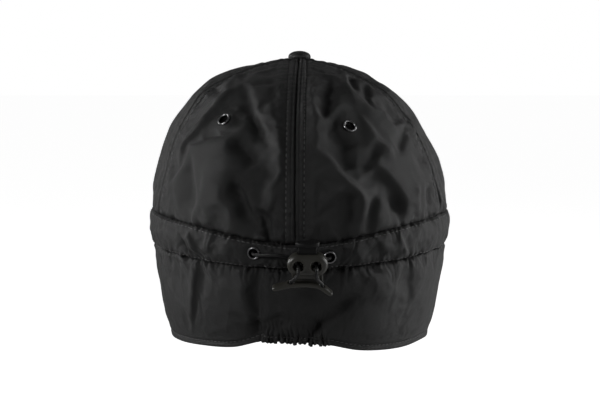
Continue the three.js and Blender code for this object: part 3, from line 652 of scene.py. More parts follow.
def shown(name, mesh, body="cap", nodes=()):
    obj = bpy.data.objects.new(name, mesh)
    bpy.context.scene.collection.objects.link(obj)
    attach(obj, body)
    if nodes:
        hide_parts(*nodes)
    return obj


def mesh_of(name, bm):
    """A mesh from a bmesh, which is freed."""
    mesh = bpy.data.meshes.new(name)
    bm.to_mesh(mesh)
    bm.free()
    return mesh


def grid_mesh(name, columns, rows, place):
    """A grid whose points place() works out from their two shares, with azimuth and height kept on it."""
    bm = bmesh.new()
    bm.loops.layers.uv.new("UVMap")
    bmesh.ops.create_grid(bm, x_segments=columns, y_segments=rows, size=0.5, calc_uvs=True)
    mesh = mesh_of(name, bm)
    shares = read_points(mesh)[:, :2] + 0.5
    azimuth, height, points = place(shares[:, 0], shares[:, 1])
    for kept, values in (("azimuth", azimuth), ("height", height)):
        mesh.attributes.new(kept, "FLOAT", "POINT").data.foreach_set("value", values)
    write_points(mesh, points)
    return mesh


def read_points(mesh):
    flat = np.empty(len(mesh.vertices) * 3)
    mesh.vertices.foreach_get("co", flat)
    return flat.reshape(-1, 3)


def write_points(mesh, points):
    mesh.vertices.foreach_set("co", points.ravel())
    mesh.update()


def kept_place(mesh):
    """The azimuth and the height that are kept on each point."""
    kept = []
    for name in ("azimuth", "height"):
        values = np.empty(len(mesh.vertices))
        mesh.attributes[name].data.foreach_get("value", values)
        kept.append(values)
    return kept


def apply_modifiers(obj):
    graph = bpy.context.evaluated_depsgraph_get()
    mesh = bpy.data.meshes.new_from_object(
        obj.evaluated_get(graph), preserve_all_data_layers=True, depsgraph=graph
    )
    old = obj.data
    obj.modifiers.clear()
    obj.data = mesh
    bpy.data.meshes.remove(old)
    mesh.name = obj.name


def write_chart(mesh, flat):
    """Sets the UV map from a pair of values for each point."""
    corners = np.empty(len(mesh.loops), dtype=np.int32)
    mesh.loops.foreach_get("vertex_index", corners)
    mesh.uv_layers["UVMap"].data.foreach_set("uv", flat[corners].ravel())


def weave_map(mesh, middle_azimuth):
    """A UV map in metres: across the cloth from its middle line, and up it."""
    azimuth, height = kept_place(mesh)
    points = shell(azimuth, height)
    radius = np.linalg.norm(points[:, :2], axis=1)
    across = np.radians(azimuth - middle_azimuth) * radius
    angle = dome_angle(np.maximum(height, WIDEST_HEIGHT))
    up = np.where(height < WIDEST_HEIGHT, height, WIDEST_HEIGHT + angle * (DOME_HEIGHT + 6))
    write_chart(mesh, np.stack((across, up), axis=-1) * MM)


def dress(mesh, *materials):
    """Smooth shading, and materials by their names."""
    mesh.polygons.foreach_set("use_smooth", np.ones(len(mesh.polygons), dtype=bool))
    mesh.update()
    for name in materials:
        mesh.materials.append(bpy.data.materials[name])


def blurred(grid, spread):
    """A grid of values averaged over their neighbours, its rows and then its columns."""
    reach = int(3 * spread)
    kernel = np.exp(-0.5 * (np.arange(-reach, reach + 1) / spread) ** 2)
    for _ in range(2):
        rows = [np.convolve(np.pad(row, reach), kernel, "valid") for row in grid]
        weight = np.convolve(np.pad(np.ones(grid.shape[1]), reach), kernel, "valid")
        grid = (np.array(rows) / weight).T
    return grid


CLOTH_SETTINGS = {
    "quality": 6,
    "mass": 0.3,
    "tension_stiffness": 30,
    "compression_stiffness": 30,
    "shear_stiffness": 12,
    "bending_stiffness": 0.4,
    "air_damping": 4,
    "pin_stiffness": 0.6,
}


# Steps that the cloths buckle for, and how far in from an edge they are held firmly
CROWN_STEPS = 24
BAND_STEPS = 20
EDGE_HOLD = 3.2


def buckle(cloths, spare, steps):
    """Lets cloths, each an object and its grid's columns, buckle by making them a little too long."""
    scale = 10
    scene = bpy.context.scene
    before = [read_points(obj.data) for obj, _ in cloths]
    for obj, _ in cloths:
        obj.data.transform(Matrix.Scale(scale, 4))
        cloth = obj.modifiers.new("Buckle", "CLOTH")
        for name, value in CLOTH_SETTINGS.items():
            setattr(cloth.settings, name, value)
        cloth.settings.shrink_min = -spare
        cloth.settings.vertex_group_mass = "held"
        cloth.settings.effector_weights.gravity = 0
        cloth.point_cache.frame_end = steps
    for step in range(1, steps + 1):
        scene.frame_set(step)
    for (obj, columns), start in zip(cloths, before):
        apply_modifiers(obj)
        obj.data.transform(Matrix.Scale(1 / scale, 4))
        take_swell_out(obj.data, columns, start)
    scene.frame_set(1)


def take_swell_out(mesh, columns, start):
    """Keeps a buckled cloth's creases and takes its broad swelling out."""
    swell_spread = 6
    flat_rise = 0.4 * MM
    taken = 0.95
    out = outward(*kept_place(mesh))
    rise = np.sum((read_points(mesh) - start) * out, axis=1)
    swell = blurred(rise.reshape(-1, columns + 1), swell_spread).ravel()
    inner = 1 - hump(rise, flat_rise)
    write_points(mesh, read_points(mesh) - (taken * inner * swell)[:, None] * out)


def hold(obj, edge_gap):
    """Holds cloth firmly along its edges and seams and round the eyelets, and lightly elsewhere."""
    light = 0.012
    eyelets = 1 - flat_near_eyelets(shell(*kept_place(obj.data)), EYELET_CALM)
    edge = hump(edge_gap, EDGE_HOLD)
    weights = light + (1 - light) * np.maximum(eyelets, edge)
    weights = np.where(edge_gap < 0.5, 1, np.clip(weights, 0, 1))
    group = obj.vertex_groups.new(name="held")
    for index, weight in enumerate(weights):
        group.add((index,), float(weight), "REPLACE")


def refine(obj, sizes, middle_azimuth):
    """One subdivision, and then the fine relief along the cap's outward directions."""
    split = obj.modifiers.new("Split", "SUBSURF")
    split.levels = 1
    split.render_levels = 1
    split.boundary_smooth = "PRESERVE_CORNERS"
    apply_modifiers(obj)
    mesh = obj.data
    azimuth, height = kept_place(mesh)
    relief = fine_relief(azimuth, height, sizes)[:, None] * outward(azimuth, height)
    write_points(mesh, read_points(mesh) + relief * MM)
    weave_map(mesh, middle_azimuth)
    dress(mesh, "crinkled nylon")


def cut_eyelet_holes(mesh, eyelets, radius):
    """Opens the cloth under each eyelet's flange."""
    bm = bmesh.new()
    bm.from_mesh(mesh)
    for azimuth, height in eyelets:
        middle = Vector(shell(azimuth, height) * MM)
        near = [f for f in bm.faces if (f.calc_center_median() - middle).length < radius * MM]
        bmesh.ops.delete(bm, geom=near, context="FACES")
    bm.to_mesh(mesh)
    bm.free()


def thicken(obj, thickness):
    wall = obj.modifiers.new("Thickness", "SOLIDIFY")
    wall.thickness = thickness
    wall.offset = -1
    wall.use_even_offset = False


# Nodes and materials


def fresh_material(name):
    material = bpy.data.materials.new(name)
    material.use_nodes = True
    tree = material.node_tree
    return material, tree, tree.nodes["Principled BSDF"]


def set_inputs(made, **values):
    for name, value in values.items():
        made.inputs[name.replace("_", " ")].default_value = value


def node(tree, kind, **settings):
    """A node whose settings are its own properties or else the values of its inputs."""
    made = tree.nodes.new(kind)
    for name, value in settings.items():
        if hasattr(made, name):
            setattr(made, name, value)
        else:
            set_inputs(made, **{name: value})
    return made


def noise_of(tree, **settings):
    """Values of a noise that lies in the object's own space."""
    made = node(tree, "ShaderNodeTexNoise", **settings)
    tree.links.new(node(tree, "ShaderNodeTexCoord").outputs["Object"], made.inputs["Vector"])
    return made.outputs["Fac"]


def chart_of(tree):
    """The two coordinates of the UV map, and a third that is 0."""
    parts = node(tree, "ShaderNodeSeparateXYZ")
    tree.links.new(node(tree, "ShaderNodeUVMap", uv_map="UVMap").outputs["UV"], parts.inputs[0])
    return parts.outputs


def maths(tree, operation, first, second=None):
    made = tree.nodes.new("ShaderNodeMath")
    made.operation = operation
    for socket, value in zip(made.inputs, (first, second)):
        if value is None:
            continue
        if isinstance(value, (int, float)):
            socket.default_value = value
        else:
            tree.links.new(value, socket)
    return made.outputs[0]


def spread_over(tree, share, spread, start):
    """A value that grows from its start by a spread as the share goes from 0 to 1."""
    return maths(tree, "ADD", maths(tree, "MULTIPLY", share, spread), start)


def tint(tree, shader, share, colour, dark, pale, start=0):
    """Colours the surface from a darker to a paler tone as the share goes from its start to 1."""
    tone = node(tree, "ShaderNodeValToRGB")
    for stop, part in zip(tone.color_ramp.elements, (dark, pale)):
        stop.color = (*[c * part for c in colour], 1)
    tone.color_ramp.elements[0].position = start
    tree.links.new(share, tone.inputs[0])
    tree.links.new(tone.outputs[0], shader.inputs["Base Color"])


def emboss(tree, shader, height, strength, distance):
    """Bumps the surface by a height, at a depth in metres."""
    bump = node(tree, "ShaderNodeBump", Strength=strength, Distance=distance)
    tree.links.new(height, bump.inputs["Height"])
    tree.links.new(bump.outputs[0], shader.inputs["Normal"])


def new_group(name, inputs, outputs):
    tree = bpy.data.node_groups.new(name, "ShaderNodeTree")
    for label, kind, default in inputs:
        socket = tree.interface.new_socket(label, in_out="INPUT", socket_type=kind)
        socket.default_value = default
    for label, kind in outputs:
        tree.interface.new_socket(label, in_out="OUTPUT", socket_type=kind)
    return tree, tree.nodes.new("NodeGroupInput"), tree.nodes.new("NodeGroupOutput")


def woven_cloth_group():
    """Plain weave with slubs and a soft crinkle, on a UV map in metres."""
    tree, given, result = new_group(
        "Woven cloth",
        (
            ("Threads Per Metre", "NodeSocketFloat", 1900.0),
            ("Weave Depth", "NodeSocketFloat", 0.5),
            ("Crinkle Scale", "NodeSocketFloat", 90.0),
            ("Crinkle Depth", "NodeSocketFloat", 1.0),
            ("Colour", "NodeSocketColor", (0.0125, 0.0125, 0.0125, 1)),
            ("Unevenness", "NodeSocketFloat", 0.3),
        ),
        (("Colour", "NodeSocketColor"), ("Roughness", "NodeSocketFloat"), ("Height", "NodeSocketFloat")),
    )
    links = tree.links
    chart = chart_of(tree)
    slub = noise_of(tree, Scale=420.0, Detail=2.0)
    waves = []
    for axis in (0, 1):
        turns = maths(tree, "MULTIPLY", chart[axis], given.outputs["Threads Per Metre"])
        bent = maths(tree, "ADD", turns, maths(tree, "MULTIPLY", slub, 0.5))
        waves.append(maths(tree, "SINE", maths(tree, "MULTIPLY", bent, 2 * math.pi)))
    weave = maths(tree, "MULTIPLY", maths(tree, "MULTIPLY", *waves), given.outputs["Weave Depth"])
    crinkle = noise_of(tree, Detail=4.0, Roughness=0.55, Distortion=0.6)
    links.new(given.outputs["Crinkle Scale"], crinkle.node.inputs["Scale"])
    soft = maths(tree, "MULTIPLY", crinkle, given.outputs["Crinkle Depth"])
    links.new(maths(tree, "ADD", weave, soft), result.inputs["Height"])
    patches = noise_of(tree, Scale=34.0, Detail=3.0, Roughness=0.6)
    tones = [
        maths(tree, "MULTIPLY", maths(tree, "SUBTRACT", part, 0.5), given.outputs["Unevenness"])
        for part in (patches, slub)
    ]
    scaled = node(tree, "ShaderNodeVectorMath", operation="SCALE")
    links.new(given.outputs["Colour"], scaled.inputs[0])
    links.new(maths(tree, "ADD", maths(tree, "ADD", *tones), 1.0), scaled.inputs["Scale"])
    links.new(scaled.outputs[0], result.inputs["Colour"])
    links.new(spread_over(tree, patches, 0.16, 0.47), result.inputs["Roughness"])


def cloth_material(name, colour, weave_depth, crinkle_depth, sheen):
    _, tree, shader = fresh_material(name)
    woven = node(tree, "ShaderNodeGroup", node_tree=bpy.data.node_groups["Woven cloth"])
    set_inputs(woven, Weave_Depth=weave_depth, Crinkle_Depth=crinkle_depth, Colour=(*colour, 1))
    emboss(tree, shader, woven.outputs["Height"], 0.55, 0.00035)
    tree.links.new(woven.outputs["Colour"], shader.inputs["Base Color"])
    tree.links.new(woven.outputs["Roughness"], shader.inputs["Roughness"])
    set_inputs(shader, Sheen_Weight=sheen, Sheen_Roughness=0.35, Specular_IOR_Level=0.3)


def thread_material(colour):
    _, tree, shader = fresh_material("sewing thread")
    twist = noise_of(tree, Scale=2600.0, Detail=1.0)
    tint(tree, shader, twist, colour, 0.6, 1.6)
    emboss(tree, shader, twist, 0.4, 0.0001)
    set_inputs(shader, Roughness=0.42, Sheen_Weight=0.1)


def metal_material(name, colour, roughness):
    _, tree, shader = fresh_material(name)
    wear = noise_of(tree, Scale=900.0, Detail=5.0)
    tree.links.new(spread_over(tree, wear, 0.16, roughness), shader.inputs["Roughness"])
    tint(tree, shader, wear, colour, 0.8, 1.3)
    set_inputs(shader, Metallic=1.0)


def cord_material(colour):
    """A braid of two crossing sets of strands, on a UV map whose unit is one turn of the cord."""
    _, tree, shader = fresh_material("braided cord")
    chart = chart_of(tree)
    along = maths(tree, "MULTIPLY", chart[0], 5200.0)
    around = maths(tree, "MULTIPLY", chart[1], 8 * math.pi)
    strands = [maths(tree, "SINE", maths(tree, way, along, around)) for way in ("ADD", "SUBTRACT")]
    braid_relief_and_shade = maths(tree, "MAXIMUM", *strands)
    emboss(tree, shader, braid_relief_and_shade, 0.7, 0.00012)
    # The braid's height also sets the colour: painted shade darkens the grooves between strands and a
    # painted highlight lightens their crests.
    tint(tree, shader, braid_relief_and_shade, colour, 0.5, 1.7, start=0.3)
    set_inputs(shader, Roughness=0.36, Specular_IOR_Level=0.4)


def plastic_material(name, colour, roughness, gloss):
    _, tree, shader = fresh_material(name)
    cloud = noise_of(tree, Scale=160.0, Detail=3.0)
    tree.links.new(spread_over(tree, cloud, 0.14, roughness), shader.inputs["Roughness"])
    tint(tree, shader, cloud, colour, 0.85, 1.15)
    emboss(tree, shader, noise_of(tree, Scale=1500.0, Detail=3.0), 0.12, 0.0001)
    set_inputs(shader, Specular_IOR_Level=gloss)


class EARFLAP_OT_finishes(bpy.types.Operator):
    """Makes the node groups and the materials"""

    bl_idname = "earflap.finishes"
    bl_label = "Finishes"

    def execute(self, context):
        colours = context.scene.earflap_colours
        woven_cloth_group()
        cloth_material("crinkled nylon", colours.cloth, 0.4, 1.6, 0.03)
        cloth_material("peak nylon", colours.cloth, 0.4, 0.7, 0.03)
        cloth_material("button nylon", [c * 0.85 for c in colours.cloth], 0.4, 0.5, 0.03)
        thread_material(colours.thread)
        metal_material("black nickel", colours.metal, 0.2)
        # The eyelets' barrels: the same nickel, rougher and darkened to a fiftieth as painted shade down
        # the holes.
        metal_material("dull nickel", [c * 0.02 for c in colours.metal], 0.6)
        cord_material(colours.cord)
        plastic_material("moulded plastic", colours.plastic, 0.32, 0.5)
        plastic_material("plunger plastic", colours.plunger, 0.45, 0.25)
        return {"FINISHED"}


def panel_foot(panel, azimuth):
    return tunnel_top(azimuth) if panel.over_tunnel else rim_height(azimuth)


def edge_gap_on_panel(panel, azimuth, height):
    """Distance to the nearest pressed seam or the foot, which is 0 only on the panel's very edge."""
    foot = panel_foot(panel, azimuth)
    sides = np.minimum(azimuth - panel.start, panel.end - azimuth) * math.pi / 180
    sides = sides * round_scale(azimuth, height)
    off_edge = (sides > 0.01) * (height > foot + 0.01)
    return np.maximum(np.minimum(sides - 5.5, height - foot - 1), 0) + 0.6 * off_edge


def folded(azimuth, height, inwards=0):
    """Points in metres on the cap with its folds, some millimetres inwards."""
    rise = (broad_relief(azimuth, height) - inwards)[:, None]
    return (shell(azimuth, height) + rise * outward(azimuth, height)) * MM


def panel_place(panel):
    """Points of a panel for shares across it and up it, closer together beside the seams."""
    tip = math.radians(TIP_ANGLE)

    def place(across, up):
        eased = across - 0.55 * np.sin(2 * math.pi * across) / (2 * math.pi)
        azimuth = panel.start + (panel.end - panel.start) * eased
        start = dome_angle(panel_foot(panel, azimuth))
        height = dome_rise(start + (tip - start) * up)
        return azimuth, height, folded(azimuth, height)

    return place


class EARFLAP_OT_crown(bpy.types.Operator):
    """Makes the six crown panels, which buckle between their pressed seams"""

    bl_idname = "earflap.crown"
    bl_label = "Crown panels"

    def execute(self, context):
        sizes = context.scene.earflap_sizes
        cloths = []
        for panel in PANELS:
            name = f"crown_cloth_{panel.name}"
            mesh = grid_mesh(name, panel.columns, panel.rows, panel_place(panel))
            obj = shown(name, mesh, nodes=(f"crown_panel_{panel.name}",))
            hold(obj, edge_gap_on_panel(panel, *kept_place(mesh)))
            cloths.append((obj, panel.columns))
        buckle(cloths, sizes.spare_cloth, CROWN_STEPS)
        for (obj, _), panel in zip(cloths, PANELS):
            refine(obj, sizes, (panel.start + panel.end) / 2)
            inside = [e for e in VENT_EYELETS.values() if panel.start < e[0] < panel.end]
            cut_eyelet_holes(obj.data, inside, CLOTH_HOLE * VENT_WIDTH)
            thicken(obj, sizes.cloth_thickness)
        return {"FINISHED"}


# Columns and rows of the grids, and the backing's distance inside the tunnel
TUNNEL_GRID = (250, 16)
BACKING_GRID = (180, 10)
FLAP_GRID = (300, 36)
PEAK_GRID = (110, 56)
BACKING_INSET = 2.2


def band_cloth(name, node_name, grid, low, high, end, spare, sizes):
    """Cloth round the head between two height lines, which buckles between them."""

    def place(across, up):
        side = 2 * across - 1
        azimuth = end * (0.6 * side + 0.4 * side**3)
        height = low(azimuth) + (high(azimuth) - low(azimuth)) * up
        return azimuth, height, folded(azimuth, height)

    mesh = grid_mesh(name, *grid, place)
    obj = shown(name, mesh, nodes=(node_name,))
    azimuth, height = kept_place(mesh)
    hold(obj, np.minimum(height - low(azimuth), high(azimuth) - height))
    buckle([(obj, grid[0])], spare, BAND_STEPS)
    refine(obj, sizes, 0)
    return obj


class EARFLAP_OT_tunnel(bpy.types.Operator):
    """Makes the gathered drawcord tunnel and its backing"""

    bl_idname = "earflap.tunnel"
    bl_label = "Drawcord tunnel"

    def execute(self, context):
        sizes = context.scene.earflap_sizes
        outer = band_cloth(
            "tunnel_cloth", "drawcord_tunnel", TUNNEL_GRID, rim_height, tunnel_top, TUNNEL_END,
            sizes.spare_cloth * 0.5, sizes,
        )
        cut_eyelet_holes(outer.data, CORD_EYELETS.values(), CLOTH_HOLE + 0.4)
        thicken(outer, sizes.cloth_thickness / 2)

        def backing_place(across, up):
            azimuth = BACKING_END * (2 * across - 1)
            low = rim_height(azimuth) - BACKING_OVERLAP
            high = tunnel_top(azimuth) + BACKING_OVERLAP
            height = low + (high - low) * up
            return azimuth, height, folded(azimuth, height, inwards=BACKING_INSET)

        mesh = grid_mesh("tunnel_backing", *BACKING_GRID, backing_place)
        backing = shown("tunnel_backing", mesh, nodes=("drawcord_tunnel",))
        weave_map(mesh, 0)
        dress(mesh, "crinkled nylon")
        thicken(backing, sizes.cloth_thickness / 2)
        return {"FINISHED"}


class EARFLAP_OT_flap(bpy.types.Operator):
    """Makes the flap over both ears and the nape, with its hem and ruffled elastic"""

    bl_idname = "earflap.flap"
    bl_label = "Ear flap"

    def execute(self, context):
        sizes = context.scene.earflap_sizes
        obj = band_cloth(
            "flap_cloth", "ear_flap", FLAP_GRID, hem_height, rim_height, HEM_AZIMUTH[-1],
            sizes.spare_cloth * 0.35, sizes,
        )
        thicken(obj, sizes.flap_thickness)
        return {"FINISHED"}


# The peak's plan: corners at the temples and the reach of its front edge
PEAK_HALF_SPAN = 54.5
PEAK_CORNER = (76, 57)
PEAK_REACH = 115
PEAK_POWER = 2.5
PEAK_SLOPE = 0.16
PEAK_ARCH = 0.0034
PEAK_ARCH_START = 22
PEAK_THICKNESS = 3
PEAK_RIM_ROUNDING = 0.9

# How far the peak starts inside the crown and below its rim
PEAK_TUCK = 1.2
PEAK_DROP = 0.4


def peak_top(across, out):
    """Points on the peak's upper face for shares from side to side and from the crown outwards."""
    side = 2 * across - 1
    start = shell(180 - PEAK_HALF_SPAN * side, np.full_like(side, EAR_RIM)) * (1 - PEAK_TUCK / HALF_WIDTH)
    start[:, 2] = EAR_RIM - PEAK_DROP
    turn = math.pi / 2 * side
    power = 2 / PEAK_POWER
    end = np.stack(
        (
            PEAK_CORNER[0] * np.sign(side) * np.abs(np.sin(turn)) ** power,
            PEAK_CORNER[1] + PEAK_REACH * np.abs(np.cos(turn)) ** power,
            start[:, 2],
        ),
        axis=-1,
    )
    points = start + (end - start) * out[:, None]
    run = np.linalg.norm(points - start, axis=1)
    arch = PEAK_ARCH * points[:, 0] ** 2 * (1 - np.exp(-run / PEAK_ARCH_START))
    points[:, 2] -= PEAK_SLOPE * run + arch
    return points


class EARFLAP_OT_peak(bpy.types.Operator):
    """Makes the firm peak"""

    bl_idname = "earflap.peak"
    bl_label = "Peak"

    def execute(self, context):
        def place(across, out):
            points = peak_top(across, out) * MM
            return across * 0, out * 0, points

        mesh = grid_mesh("peak", *PEAK_GRID, place)
        obj = shown("peak_cover", mesh, nodes=("peak",))
        write_chart(mesh, read_points(mesh)[:, :2])
        bm = bmesh.new()
        bm.from_mesh(mesh)
        bmesh.ops.recalc_face_normals(bm, faces=bm.faces)
        if sum(f.normal.z for f in bm.faces) < 0:
            bmesh.ops.reverse_faces(bm, faces=bm.faces)
        bm.to_mesh(mesh)
        bm.free()
        dress(mesh, "peak nylon")
        thicken(obj, PEAK_THICKNESS * MM)
        rounded = obj.modifiers.new("Rounded rim", "BEVEL")
        rounded.width = PEAK_RIM_ROUNDING * MM
        rounded.segments = 3
        rounded.limit_method = "ANGLE"
        return {"FINISHED"}


def turned_mesh(name, profile, segments, closed, widen=1):
    """A profile of radius and height in millimetres, spun round the Z axis."""
    bm = bmesh.new()
    points = [bm.verts.new((radius * widen * MM, 0, height * MM)) for radius, height in profile]
    pairs = list(zip(points[:-1], points[1:]))
    if closed:
        pairs.append((points[-1], points[0]))
    edges = [bm.edges.new(pair) for pair in pairs]
    bmesh.ops.spin(
        bm, geom=[*points, *edges], cent=(0, 0, 0), axis=(0, 0, 1), angle=2 * math.pi,
        steps=segments, use_merge=True,
    )
    bmesh.ops.remove_doubles(bm, verts=bm.verts, dist=1e-6)
    bmesh.ops.recalc_face_normals(bm, faces=bm.faces)
    return mesh_of(name, bm)


def seat_on(name, azimuth, height, lift=0):
    """The frame on a piece of cloth at a place, whose Z points straight out of it."""
    directions = 12
    out = Vector(outward(azimuth, height))
    start = Vector(shell(azimuth, height)) * MM
    tree = BVHTree.FromObject(bpy.data.objects[name], bpy.context.evaluated_depsgraph_get())
    hits = []
    for step in range(directions):
        turn = Matrix.Rotation(math.radians(360 / directions * step), 3, out)
        side = turn @ out.orthogonal().normalized()
        hit = tree.ray_cast(start + side * 4 * MM + out * 8 * MM, -out, 16 * MM)[0]
        if hit:
            hits.append((hit - start).dot(out))
    rise = sum(hits) / len(hits) if hits else 0
    turn = out.to_track_quat("Z", "Y").to_matrix().to_4x4()
    return Matrix.Translation(start + out * (rise + lift * MM)) @ turn


class EARFLAP_OT_eyelets(bpy.types.Operator):
    """Makes the four rolled eyelets"""

    bl_idname = "earflap.eyelets"
    bl_label = "Eyelets"

    def execute(self, context):
        for side, (azimuth, height) in VENT_EYELETS.items():
            place = seat_on(f"crown_cloth_back_{side}", azimuth, height, EYELET_LIFT)
            self.ring(f"vent_ring_{side}", place, f"eyelet_vent_{side}", VENT_WIDTH)
        for side, (azimuth, height) in CORD_EYELETS.items():
            place = seat_on("tunnel_cloth", azimuth, height, EYELET_LIFT)
            self.ring(f"cord_ring_{side}", place, f"eyelet_cord_{side}", 1)
        return {"FINISHED"}

    def ring(self, name, place, node_name, widen):
        mesh = turned_mesh(name, EYELET_PROFILE, 40, closed=True, widen=widen)
        dress(mesh, "black nickel", "dull nickel")
        # Faces below the barrel's top take the darkened nickel: painted shade down the eyelet's hole.
        for face in mesh.polygons:
            face.material_index = int(face.center.z < BARREL_TOP * MM)
        mesh.transform(place)
        shown(name, mesh, nodes=(node_name,))


# The covered button: the height of its seat, its rim and the gathers of its cloth
BUTTON_SEAT = 113.1
BUTTON_RADIUS = 6.7
BUTTON_HEIGHT = 5.5
BUTTON_RIM = ((0, -2.4), (2.2, -2.4), (2.2, -0.2), (5.6, -0.2), (6.2, 0.3), (6.6, 1.2))
BUTTON_GATHERS = 18


class EARFLAP_OT_button(bpy.types.Operator):
    """Makes the covered button on top"""

    bl_idname = "earflap.button"
    bl_label = "Top button"

    def execute(self, context):
        turns = [math.radians(angle) for angle in range(0, 90, 9)]
        dome = [
            (BUTTON_RADIUS * math.cos(turn), BUTTON_HEIGHT * (0.38 + 0.62 * math.sin(turn)))
            for turn in turns
        ]
        mesh = turned_mesh("button", [*BUTTON_RIM, *dome, (0, BUTTON_HEIGHT)], 72, closed=False)
        points = read_points(mesh) / MM
        turn = np.arctan2(points[:, 1], points[:, 0])
        rim = hump(points[:, 2] - 0.6, 1.3) * (np.hypot(points[:, 0], points[:, 1]) > 3)
        points[:, :2] *= (1 + 0.03 * rim * np.sin(BUTTON_GATHERS * turn + 1.3 * np.sin(3 * turn)))[:, None]
        points[:, 2] += BUTTON_SEAT
        write_points(mesh, points * MM)
        mesh.uv_layers.new(name="UVMap")
        write_chart(mesh, read_points(mesh)[:, :2])
        dress(mesh, "button nylon")
        shown("button_cover", mesh, nodes=("top_button",))
        return {"FINISHED"}


def lock_matrix():
    turn = Matrix.Rotation(math.radians(90 + LOCK_LEAN), 4, "X")
    return Matrix.Translation(Vector(LOCK_PLACE) * MM) @ turn


def solid_of(*makers):
    """A temporary object of one or more solids, each from a function that fills a bmesh."""
    whole = bmesh.new()
    mesh = bpy.data.meshes.new("part")
    for make in makers:
        bm = bmesh.new()
        make(bm)
        bmesh.ops.recalc_face_normals(bm, faces=bm.faces)
        bm.to_mesh(mesh)
        bm.free()
        whole.from_mesh(mesh)
    whole.to_mesh(mesh)
    whole.free()
    obj = bpy.data.objects.new("part", mesh)
    bpy.context.scene.collection.objects.link(obj)
    return obj


def slab(outline, back, front, bevel, segments):
    """An outline in the XY plane extruded from back to front, with rounded rims."""

    def make(bm):
        face = bm.faces.new([bm.verts.new((x, y, back)) for x, y in outline])
        walls = bmesh.ops.extrude_face_region(bm, geom=[face])["geom"]
        moved = [v for v in walls if isinstance(v, bmesh.types.BMVert)]
        bmesh.ops.translate(bm, verts=moved, vec=(0, 0, front - back))
        bmesh.ops.recalc_face_normals(bm, faces=bm.faces)
        rims = [e for e in bm.edges if abs(e.verts[0].co.z - e.verts[1].co.z) < 1e-6]
        bmesh.ops.bevel(
            bm, geom=rims, offset=bevel, segments=segments, profile=0.5, affect="EDGES", material=-1
        )

    return make


def rod(radius, start, end, mouth=None):
    """A round cutter between two points, wider at its start if a mouth radius is given."""

    def make(bm):
        axis = Vector(end) - Vector(start)
        turn = axis.to_track_quat("Z", "Y").to_matrix().to_4x4()
        bmesh.ops.create_cone(
            bm, cap_ends=True, segments=32, radius1=mouth or radius, radius2=radius, depth=axis.length,
            matrix=Matrix.Translation((Vector(start) + Vector(end)) / 2) @ turn,
        )

    return make


def moulded(name, parts, cutters, passes, material):
    """Parts fused, cut and softened into one moulding, in the lock's frame."""
    whole = solid_of(*parts)
    tools = [solid_of(make) for make in cutters]
    fuse = whole.modifiers.new("Fuse", "REMESH")
    fuse.mode = "VOXEL"
    fuse.voxel_size = MOULDING_VOXEL
    for tool in tools:
        step = whole.modifiers.new("Cut", "BOOLEAN")
        step.operation = "DIFFERENCE"
        step.solver = "EXACT"
        step.object = tool
    skin = whole.modifiers.new("Skin", "REMESH")
    skin.mode = "VOXEL"
    skin.voxel_size = MOULDING_VOXEL
    soft = whole.modifiers.new("Soften", "SMOOTH")
    soft.factor = 0.5
    soft.iterations = passes
    apply_modifiers(whole)
    for tool in tools:
        bpy.data.objects.remove(tool)
    mesh = whole.data
    bpy.data.objects.remove(whole)
    mesh.name = name
    mesh.transform(lock_matrix() @ Matrix.Scale(MM, 4))
    dress(mesh, material)
    return mesh


def stadium(half_width, low, high, segments):
    """A slot-shaped outline."""
    radius = (high - low) / 2
    middle = (high + low) / 2
    outline = []
    for side in (1, -1):
        for step in range(segments + 1):
            turn = math.pi * (step / segments - 0.5)
            outline.append((
                side * (half_width - radius) + side * radius * math.cos(turn),
                middle + side * radius * math.sin(turn),
            ))
    return outline


def rectangle(half_width, top, bottom):
    return [(-half_width, bottom), (half_width, bottom), (half_width, top), (-half_width, top)]


def foot_outline():
    route = smooth_route([(x, y, 0) for x, y in (*FOOT_OUTLINE, FOOT_OUTLINE[0])], 4)
    return [(point.x, point.y) for point in route[:-1]]


def lobe(side):
    """The swelling round a bore."""

    def make(bm):
        size = Matrix.Diagonal((LOBE_RADIUS, LOBE_RADIUS, LOBE_DEPTH, 1))
        place = Matrix.Translation((side * LOBE_OFFSET, 0, -0.1))
        bmesh.ops.create_uvsphere(bm, u_segments=40, v_segments=24, radius=1, matrix=place @ size)

    return make


